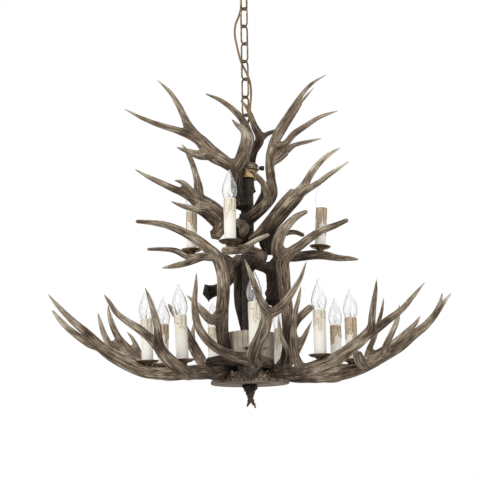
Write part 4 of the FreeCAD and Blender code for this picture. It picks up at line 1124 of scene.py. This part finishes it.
def link_part():
    """One link about its own middle, of round wire."""
    bend = (LINK_WIDTH - LINK_WIRE) / 2
    straight = (LINK_PITCH + LINK_WIRE + LINK_GAP) / 2 - bend
    route = []
    for centre, start, side in ((straight, 0.0, -bend), (-straight, math.pi, bend)):
        for i in range(17):
            angle = start + math.pi * i / 16
            route.append(Vector((bend * math.cos(angle), 0, centre + bend * math.sin(angle))) * MM)
        for share in (0.6, 0.3, 0.0, -0.3, -0.6):
            route.append(Vector((side, 0, share * centre)) * MM)
    return new_object("link_part", ring_loop(route, LINK_WIRE * MM, 16))


def chain_tree():
    """Links up a line, each turned square to the one below."""
    tree, given = geometry_tree("chain", "Part", "Count", "Pitch", "Start Turn")
    step = node(tree, "ShaderNodeCombineXYZ", {2: given["Pitch"]})
    line = node(tree, "GeometryNodeMeshLine", {"Count": given["Count"], "Offset": step})
    turn = node(tree, "GeometryNodeInputIndex") * (math.pi / 2) + given["Start Turn"]
    return close_tree(on_spots(tree, given["Part"], line, {2: turn}), given["Material"])


def build_chain():
    part = link_part()
    tree = chain_tree()
    for name, first, count, body, cad in (
            ("lower_chain", 0, LINKS - 1, "chandelier", "chain_links"),
            ("upper_link", LINKS - 1, 1, "top_link", "chain_top_link")):
        start = new_object(name, mesh_from([(0, 0, 0)], []))
        values = {"Part": part, "Count": count, "Pitch": LINK_PITCH * MM,
                  "Start Turn": link_turn(first), "Material": aged_brass}
        run = dress(start, tree, values, name, "aged_brass", cad, body)
        lift(run.data, height=FIRST_JOINT + (first + 0.5) * LINK_PITCH)
    drop(part)


def eye_piece(name, centre, step, foot, body, cad):
    """A ring of round wire on a turned socket."""
    angle = link_turn(step)
    across = Vector((math.cos(angle), math.sin(angle), 0))
    ring = circle(at(0, 0, centre), across, Vector((0, 0, 1)), EYE_RADIUS * MM, 48)
    ring = ring_loop(ring, EYE_WIRE * MM, 18)
    socket = [(0, 0), (7.2, 0), (8, 1), (8, 4.2), (6.6, 5.2), (6.6, 10), (8, 11), (8, 13), (7, 14), (0, 14)]
    socket = lift(lathe(rounded([(r, foot + h) for r, h in socket], 0.8), 40))
    piece = new_object(name, joined([ring, socket], name), aged_brass)
    finish_piece(piece, body, "aged_brass", cad)


def build_suspension():
    build_chain()
    half = EYE_WIRE / 2 + EYE_RADIUS
    eye = height_of("hanging_eye") - half
    eye_piece("stem_eye", eye, 1, height_of("hanging_eye", False), "chandelier", "hanging_eye")
    loop = height_of("ceiling_loop", False) + half
    foot = height_of("ceiling_loop") - SOCKET_HEIGHT
    eye_piece("ceiling_eye", loop, LINKS, foot, "ceiling_fitting", "ceiling_loop")
    build_canopy()
    for cad in ("ceiling_bracket", "bracket_nut", "canopy_nipple"):
        repaint(cad, zinc)
    repaint("cord_bushing", bronze)


def build_canopy():
    foot = height_of("canopy", False)
    depth = height_of("canopy") - foot
    bow = CANOPY_RADIUS - CANOPY_FLAT_RADIUS
    walls = []
    for wall in (0.0, CANOPY_WALL):
        side = [(CANOPY_HOLE, wall), (CANOPY_FLAT_RADIUS - 2, wall)]
        for i in range(9):
            angle = math.radians(10 + 10 * i)
            rise = CANOPY_SHOULDER * (1 - math.cos(angle))
            side.append((CANOPY_FLAT_RADIUS + (bow - wall) * math.sin(angle), wall + rise))
        walls.append(side)
    wide = CANOPY_RADIUS
    rim = [(wide, 4), (wide + 1, 3), (wide + 1, 1), (wide, 0), (wide - CANOPY_WALL, 0)]
    profile = walls[0] + [(r, depth - h) for r, h in rim] + walls[1][::-1]
    profile = [(r, foot + h) for r, h in profile]
    bell = new_object("bell_canopy", lift(lathe(profile, 96)), aged_brass)
    finish_piece(bell, "ceiling_fitting", "aged_brass", "canopy")


# ---- cord ----------------------------------------------------------------------------------------
CORD_DIAMETER = 6.0
CORD_LAY = 0.011
CORD_RIPPLE = 0.35
CORD_SIDES = 24
CORD_JOIN = (-7, 14, 984)
CORD_TOP_ROUTE = [(-15, 15, height_of("cord_bushing", False)), (-15, 15, 1020), (-7, 14, 1001), CORD_JOIN]
CORD_ROUTE = [
    CORD_JOIN, (-7, 14, 967), (-13, 12, 945), (-23, 8, 920), (-25, 5, 892), (-20, 3.5, 863),
    (-14.5, 2.5, 836), (-8.5, 0, 811), (0, 0, 794), (7, -0.5, 778), (13, 0, 760),
    (15.5, 0, 733), (13, -1, 703), (10, 0, 675), (7.5, 9, 656),
    (0, 13.5, 640), (-8, 13, 621), (-10, 11, 598), (-5, 12, 577), (4, 13.5, 562),
    (8, 13.5, 548), (8, 13.5, CAP_TOP - 8),
]


def smooth_line(route):
    """The points of a smooth curve drawn by the route's points."""
    curve = bpy.data.curves.new("cord_line", "CURVE")
    curve.dimensions = "3D"
    curve.resolution_u = 24
    spline = curve.splines.new("NURBS")
    spline.points.add(len(route) - 1)
    for point, place in zip(spline.points, route):
        point.co = (*at(*place), 1)
    spline.order_u = 3
    spline.use_endpoint_u = True
    line = new_object("cord_line", curve)
    points = [v.co.copy() for v in evaluated_mesh(line).vertices]
    drop(line)
    return points


def twisted_cord(name, line):
    """Three strands laid round each other, as one skin, and their length."""
    corners, waves = [], []
    across = Vector((1, 0, 0))
    run = 0.0
    before = line[0]
    for point, along in zip(line, line_ways(line)):
        across = (across - along * across.dot(along)).normalized()
        beside = along.cross(across)
        run += (point - before).length
        before = point
        for angle in turns(CORD_SIDES):
            wave = 3 * (angle - 2 * math.pi * run / CORD_LAY)
            radius = (CORD_DIAMETER / 2 - CORD_RIPPLE + CORD_RIPPLE * math.cos(wave)) * MM
            corners.append(point + (across * math.cos(angle) + beside * math.sin(angle)) * radius)
            waves.append(math.sin(wave))
    mesh = mesh_from(corners, tube_faces(len(line), CORD_SIDES))
    keep_values(mesh, turn=waves)
    return new_object(name, mesh, cord_cloth), run


def build_cord():
    for name, route, bodies, ends, cad in (
            ("upper_cord", CORD_TOP_ROUTE, ("ceiling_fitting", "top_link"), (1020, 992), "flex_top"),
            ("lower_cord", CORD_ROUTE, ("top_link", "chandelier"), (978, 940), "flex")):
        line = smooth_line(route)
        piece, length = twisted_cord(name, line)
        at(0, 0, ends[0])
        at(0, 0, ends[1])
        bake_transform(piece)
        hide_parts(cad)


# ---- antlers -------------------------------------------------------------------------------------
VOXEL = 0.0016
FINIAL_VOXEL = 0.0011
WEB = 6.0
BRANCH_SIDES = 20
TIP_REACH = 0.13                 # how far from its tip a tine turns pale, in metres
FLARE_REACH = 0.011              # how far up the beam a burr's flare goes, in metres
LEAST_RADIUS = 0.0009
WEB_SHARE = 0.45                 # of a branch's radius, the most that it is made fatter
BEAM_TIP = 4                     # a beam or tine that ends thinner than this has a pale tip
TINE_TIP = 5
UNEVEN = 0.05                    # how much the thickness changes along a branch
OVAL = 0.07                      # how much it is out of round
TWIST = 0.5                      # how far its grooves turn, in radians a metre
WEB_PLACE = 0.06                 # how far up its antler a thicker place is taken to be, in metres
WEB_SEED = 20
ANTLER_SKIN = {"Groove Width": 0.0026, "Groove Depth": 0.0007, "Pearl": 0.0048, "Pearl Height": 0.0012}
FINIAL_SKIN = {"Groove Width": 0.004, "Groove Depth": 0.001, "Pearl": 0.0055, "Pearl Height": 0.003}
# The darker copy, partly stain and partly painted shade, goes on the antlers at the back and one arm; the
# paler copy, partly painted light, goes on two lit antlers.
ANTLER_FINISH = {
    "upright_antler_back": antler_dark_stain_and_shade, "arm_antler_right": antler_dark_stain_and_shade,
    "middle_antler_back": antler_dark_stain_and_shade, "crown_antler_back": antler_dark_stain_and_shade,
    "upright_antler_left": antler_pale_and_lit, "middle_antler_right": antler_pale_and_lit,
}
# How far each burr stands out from its beam, in millimetres.
BURRS = {
    "upright_antler_left": 6.0, "upright_antler_right": 5.0, "upright_antler_back": 7.0,
    "middle_antler_left": 8.0, "middle_antler_right": 4.0, "middle_antler_back": 6.0,
    "crown_antler_left": 6.0, "crown_antler_right": 8.0, "crown_antler_back": 5.0,
    "arm_antler_left": 8.0, "arm_antler_right": 6.0, "arm_antler_front": 5.0,
}
# How far up from its foot an antler is pearled and darker, in metres; the darkening is partly the real
# darker base and partly painted shade near the column.
DARK_ROOT = 0.15
DARK_ROOTS = {
    "basket_antler_1": 0.28, "upright_antler_left": 0.20, "middle_antler_right": 0.18,
    "crown_antler_right": 0.07,
}
# Thicker places that run into the beams: webs in the forks and the crossed beams on the plate.
THICKER = {
    "crown_antler_right": [
        [(58, 8, 544, 8), (82, 16, 562, 9), (102, 26, 580, 7)],
        [(80, 10, 606, 6), (98, 9, 638, 7), (119, 8, 670, 6), (141, 4, 703, 4.5)],
        [(-27, -34, 391, 8), (-17, -37, 384, 13), (-8, -38, 370, 12), (-15, -36, 354, 8)],
        [(50, -66, 440, 8.5), (40, -74, 470, 7.5), (21, -81, 492, 5.5), (6, -85, 502, 3)],
    ],
    "middle_antler_right": [
        [(4, -30, 343, 8), (24, -26, 362, 8), (48, -24, 390, 9), (80, -30, 430, 9), (112, -36, 464, 8)],
    ],
    "middle_antler_left": [
        [(-122, -44, 418, 8), (-100, -38, 404, 9), (-80, -34, 385, 9), (-66, -30, 373, 8)],
    ],
    "basket_antler_1": [
        [(-98, -66, 45, 13), (-64, -74, 49, 14), (-22, -79, 50, 14), (16, -78, 47, 14),
         (52, -72, 41, 12)],
    ],
}
# A skin in the making. Each corner has its strand place, how near the tip and the antler's root
# it is, and how much fatter it is made for the web.
Skin = namedtuple("Skin", "corners faces strand tip root swell")


def smooth_rows(points, step=0.004):
    """A smooth line through points of place and radius, as rows of x, y, z, radius."""
    rows = np.array([[*at(x, y, h), r * MM] for x, y, h, r in points])
    gaps = np.linalg.norm(np.diff(rows[:, :3], axis=0), axis=1)
    knots = np.concatenate([[0.0], np.cumsum(gaps)])
    slopes = np.gradient(rows, knots, axis=0)
    count = max(4, int(knots[-1] / step))
    places = np.linspace(0, knots[-1], count)
    cell = np.clip(np.searchsorted(knots, places, side="right") - 1, 0, len(knots) - 2)
    span = (knots[cell + 1] - knots[cell])[:, None]
    t = (places - knots[cell])[:, None] / span
    start, end = rows[cell], rows[cell + 1]
    rise, fall = slopes[cell] * span, slopes[cell + 1] * span
    smooth = (start * (1 + 2 * t) * (1 - t) ** 2 + end * t * t * (3 - 2 * t)
              + rise * t * (1 - t) ** 2 - fall * t * t * (1 - t))
    smooth[:, 3] = np.maximum(smooth[:, 3], LEAST_RADIUS)
    return smooth, places


def add_branch(skin, points, before, burr, seed, pointed, web, root_reach):
    """Adds one branch to a skin. before is the length from the antler's root to the branch."""
    rows, places = smooth_rows(points)
    begin = len(skin.corners)
    sides = BRANCH_SIDES
    centres = rows[:, :3]
    along = np.gradient(centres, axis=0)
    along /= np.linalg.norm(along, axis=1)[:, None]
    across = np.cross(along[0], (0.31, 0.17, 0.93))
    marks = []
    for centre, way, place, thick in zip(centres, along, places, rows[:, 3]):
        across = across - way * across.dot(way)
        across /= np.linalg.norm(across)
        beside = np.cross(way, across)
        radius = thick * (1 + UNEVEN * noise.noise(Vector((place * 22, seed, 0.5))))
        near = place / FLARE_REACH
        flare = burr * MM * math.exp(-near * near) if burr else 0.0
        tip = min(1.0, max(0.0, 1 - (places[-1] - place) / TIP_REACH)) if pointed else 0.0
        root = max(0.0, 1 - (before + place) / root_reach)
        swell = min(web, WEB_SHARE * radius)
        marks.append((tip, root, swell))
        for angle in turns(sides):
            oval = 1 + OVAL * math.cos(2 * angle + seed + 6 * place)
            direction = across * math.cos(angle) + beside * math.sin(angle)
            knob = 0.8 + 0.8 * noise.noise(Vector(direction * 2.2 + seed)) if flare else 0.0
            skin.corners.append(centre + direction * (radius * oval + flare * knob + swell))
            twist = angle + TWIST * place + seed
            wide = 0.5 * radius + 0.0045
            skin.strand.append((math.cos(twist) * wide, math.sin(twist) * wide, before + place + seed * 3))
    for column, values in zip((skin.tip, skin.root, skin.swell), zip(*marks)):
        column += [value for value in values for _ in range(sides)]
        column += [values[0], values[-1]]
    skin.faces.extend(ring_faces(len(rows), sides, begin=begin))
    for i, order in ((0, -1), (len(rows) - 1, 1)):
        skin.corners.append(centres[i] + along[i] * ((rows[i, 3] + marks[i][2]) * 0.8 * order))
        skin.strand.append((0.0, 0.0, before + places[i] + seed * 3))
        hub = len(skin.corners) - 1
        for j in range(sides):
            ends = (begin + i * sides + j, begin + i * sides + (j + 1) % sides)
            skin.faces.append((hub, *ends[::order]))


def antler_skin(name, antler, seed, web=0.0):
    """Beam and tines as closed skins that run into each other, in one mesh."""
    reach = DARK_ROOTS.get(name, DARK_ROOT)
    skin = Skin(*([] for _ in Skin._fields))
    pointed = antler.beam[-1][3] < BEAM_TIP
    add_branch(skin, antler.beam, 0.0, BURRS.get(name, 0.0), seed, pointed, web, reach)
    for order, (start, points) in enumerate(antler.tines):
        x, y, h, radius = antler.beam[start]
        root = (x, y, h, max(min(radius * 0.95, points[0][3] * 1.5), points[0][3]))
        places = [at(*point[:3]) for point in antler.beam[:start + 1]]
        before = sum((b - a).length for a, b in zip(places, places[1:]))
        pointed = points[-1][3] < TINE_TIP
        add_branch(skin, [root] + points, before, 0.0, seed + order + 1, pointed, web, reach)
    for order, points in enumerate(THICKER.get(name, [])):
        add_branch(skin, points, WEB_PLACE, 0.0, seed + order + WEB_SEED, False, web, reach)
    mesh = mesh_from(skin.corners, skin.faces, name)
    flat = [value for row in skin.strand for value in row]
    mesh.attributes.new("strand", "FLOAT_VECTOR", "POINT").data.foreach_set("vector", flat)
    keep_values(mesh, tip=skin.tip, root=skin.root, swell=skin.swell)
    return mesh


def sampled(skin, name, rounds, kind="FLOAT"):
    """A named value of the nearest place on another skin, blurred."""
    feeds = {"Mesh": skin, "Value": attribute(skin.tree, name, kind)}
    found = node(skin.tree, "GeometryNodeSampleNearestSurface", feeds, data_type=kind)
    feeds = {0: found, "Iterations": rounds}
    return node(skin.tree, "GeometryNodeBlurAttribute", feeds, data_type=kind)


def antler_tree():
    """Carries the strand places over to the joined skin, cuts the grooves and raises the pearls."""
    tree, given = geometry_tree("antler_skin", "Skin", *ANTLER_SKIN)
    geometry = given["Geometry"]
    skin = object_shape(tree, given["Skin"])
    for name, kind in (("strand", "FLOAT_VECTOR"), ("tip", "FLOAT"), ("root", "FLOAT")):
        geometry = keep_attribute(geometry, name, sampled(skin, name, 2, kind), kind)
    drawn = vectors("MULTIPLY", attribute(tree, "strand", "FLOAT_VECTOR"), (1.0, 1.0, 0.055))
    feeds = {"Vector": drawn, "Scale": 1.0 / given["Groove Width"], "Detail": 2.5, "Roughness": 0.55}
    groove = node(tree, "ShaderNodeTexNoise", feeds).ease(0.36, 0.60)
    calm = attribute(tree, "tip").spread(0.2, 1.0, 1.0, 0.15)
    place = node(tree, "GeometryNodeInputPosition")
    feeds = {"Vector": place, "Scale": 1.0 / given["Pearl"]}
    pearl = node(tree, "ShaderNodeTexVoronoi", feeds, "Distance").ease(0.1, 0.6, 1.0, 0.0)
    near = attribute(tree, "root").ease(0.4, 0.95)
    cut = (groove - 0.7) * given["Groove Depth"] * calm
    raised = (pearl - 0.4) * given["Pearl Height"]
    geometry = pushed(geometry, raised * near + cut)
    geometry = keep_attribute(geometry, "groove", (pearl - groove) * near + groove)
    return close_tree(geometry, given["Material"])


def draw_in_tree():
    """Draws a fattened skin in again by as much as it was fattened."""
    tree, given = geometry_tree("draw_in", "Skin")
    depth = sampled(object_shape(tree, given["Skin"]), "swell", 4)
    return close_tree(pushed(given["Geometry"], depth * -1.0), given["Material"])


def dish_spaces():
    """The seats milled in the antlers for the dishes and cups."""
    seat = lathe([
        (0, -CUP_HEIGHT), (11.5, -CUP_HEIGHT), (14.5, -3.6), (24.5, -2.8), (28.2, 1.5), (28.2, 9),
        (0, 9)], 40)
    seats = []
    for candle in CANDLES:
        copy = seat.copy()
        copy.transform(candle_frame(candle))
        seats.append(copy)
    return new_object("dish_spaces", joined(seats, "dish_spaces"))


def carve(obj, tool):
    cut = obj.modifiers.new("notch", "BOOLEAN")
    cut.object = tool
    cut.operation = "DIFFERENCE"
    cut.solver = "MANIFOLD"


def merge_skin(obj, rounds, voxel=VOXEL):
    """One closed skin from the skins that run into each other."""
    remesh = obj.modifiers.new("remesh", "REMESH")
    remesh.mode = "VOXEL"
    remesh.voxel_size = voxel
    smooth = obj.modifiers.new("smooth", "SMOOTH")
    smooth.factor = 0.5
    smooth.iterations = rounds


def build_antlers():
    """Each antler is made fatter, merged and drawn in again, which leaves webs in its forks."""
    tree = antler_tree()
    draw_in = draw_in_tree()
    tools = [column_space(), dish_spaces()]
    for seed, (name, antler) in enumerate(ANTLERS.items()):
        skin = new_object(name + "_skin", antler_skin(name, antler, float(seed)))
        fat = new_object(name + "_fat", antler_skin(name, antler, float(seed), WEB * MM))
        body = new_object(name + "_body", fat.data.copy())
        merge_skin(body, 6)
        add_tree(body, draw_in, {"Skin": fat, "Material": antler_brown})
        merge_skin(body, 5)
        for tool in tools:
            carve(body, tool)
        values = {"Skin": skin, "Material": ANTLER_FINISH.get(name, antler_brown), **ANTLER_SKIN}
        dress(body, tree, values, name.replace("_antler", "") + "_horn", "antler", name)
        drop(skin, fat)
    drop(*tools)


def build_finial():
    """The pearled crown under the hub, forked into two short points."""
    length = -height_of("finial", False)
    fork = -length * 0.58
    crown = Antler(
        beam=[(0, 0, 0, 17), (0, 0, -5, 19), (0, 0, -11, 17), (0, 0, -20, 12), (0, 0, fork, 7.5),
              (-3, 0, fork - 9, 5), (-8.5, 0, -length * 0.93, 1.5)],
        tines=[(4, [(6, 0, fork - 9, 4.5), (12.5, 0, -length + 1, 1.5)])])
    skin = new_object("finial_skin", antler_skin("finial", crown, 31.0))
    body = new_object("finial_body", skin.data.copy())
    merge_skin(body, 4, FINIAL_VOXEL)
    plate = new_object("plate_space", lift(lathe([(0, 0), (60, 0), (60, 60), (0, 60)], 32)))
    carve(body, plate)
    tree = bpy.data.node_groups["antler_skin"]
    values = {"Skin": skin, "Material": antler_brown, **FINIAL_SKIN}
    dress(body, tree, values, "crown_finial", "antler", "finial")
    drop(skin, plate)


# ---- camera, light and floor ---------------------------------------------------------------------
CAMERA_LENS = 75.5
CAMERA_PLACE = (0, -2400, -186)
CAMERA_TURNS = (("Z", 0.45), ("X", 102.6), ("Z", -0.87))
# Each light: its name, its place from the chandelier's middle, its width and its power.
LIGHTS = (
    ("key", (-1.6, -2.2, 1.6), 1.6, 62),
    ("fill", (2.2, -1.6, 0.2), 1.8, 18),
    ("back", (0.8, 2.4, 1.2), 1.6, 12),
)
MIDDLE_HEIGHT = 300
ROOM_LIGHT = 0.50
FLOOR_REACH = 9.0
FLOOR_HEIGHT = -2.4


def photo_camera():
    camera = bpy.data.cameras.new("photo_camera")
    camera.lens = CAMERA_LENS
    camera.sensor_width = 36
    camera.clip_end = 50
    obj = new_object("photo_camera", camera)
    place = Matrix.Translation(at(*CAMERA_PLACE))
    for axis, degrees in CAMERA_TURNS:
        place = place @ Matrix.Rotation(math.radians(degrees), 4, axis)
    obj.matrix_world = place
    bpy.context.scene.camera = obj


def area_light(name, away, size, power):
    """A round light at a place counted from the chandelier's middle, which it faces."""
    light = bpy.data.lights.new(name, "AREA")
    light.shape = "DISK"
    light.size = size
    light.energy = power
    obj = new_object(name, light)
    away = Vector(away)
    obj.location = at(0, 0, MIDDLE_HEIGHT) + away
    obj.rotation_euler = (-away).to_track_quat("-Z", "Y").to_euler()


def studio():
    """Three lights, a white backdrop that lights the object less than it looks, and a floor."""
    for light in LIGHTS:
        area_light(*light)
    world = bpy.data.worlds.new("studio")
    bpy.context.scene.world = world
    world.use_nodes = True
    tree = world.node_tree
    tree.nodes.clear()
    path = Outputs(tree.nodes.new("ShaderNodeLightPath"))
    seen = maths("MAXIMUM", path["Is Camera Ray"], path["Is Glossy Ray"])
    seen = maths("MAXIMUM", seen, path["Is Transmission Ray"])
    room, white = (
        node(tree, "ShaderNodeBackground", {"Color": (1, 1, 1, 1), "Strength": strength})
        for strength in (ROOM_LIGHT, 1.0))
    both = node(tree, "ShaderNodeMixShader", {0: seen, 1: room, 2: white})
    node(tree, "ShaderNodeOutputWorld", {"Surface": both})

    corners = [(x * FLOOR_REACH, y * FLOOR_REACH, FLOOR_HEIGHT)
               for x, y in ((-1, -1), (1, -1), (1, 1), (-1, 1))]
    floor = new_object("floor", mesh_from(corners, [(0, 1, 2, 3)]))
    material, tree, shader = new_material("pale_floor", roughness=0.7)
    feed(shader, {"Base Color": (0.85, 0.85, 0.85, 1)})
    floor.data.materials.append(material)


photo_camera()
build_cord()
build_tube()
build_turned_pieces()
build_stump()
build_hub()
build_candles()
build_bulbs()
build_suspension()
build_antlers()
build_finial()
studio()
bpy.context.scene.view_settings.view_transform = "Standard"
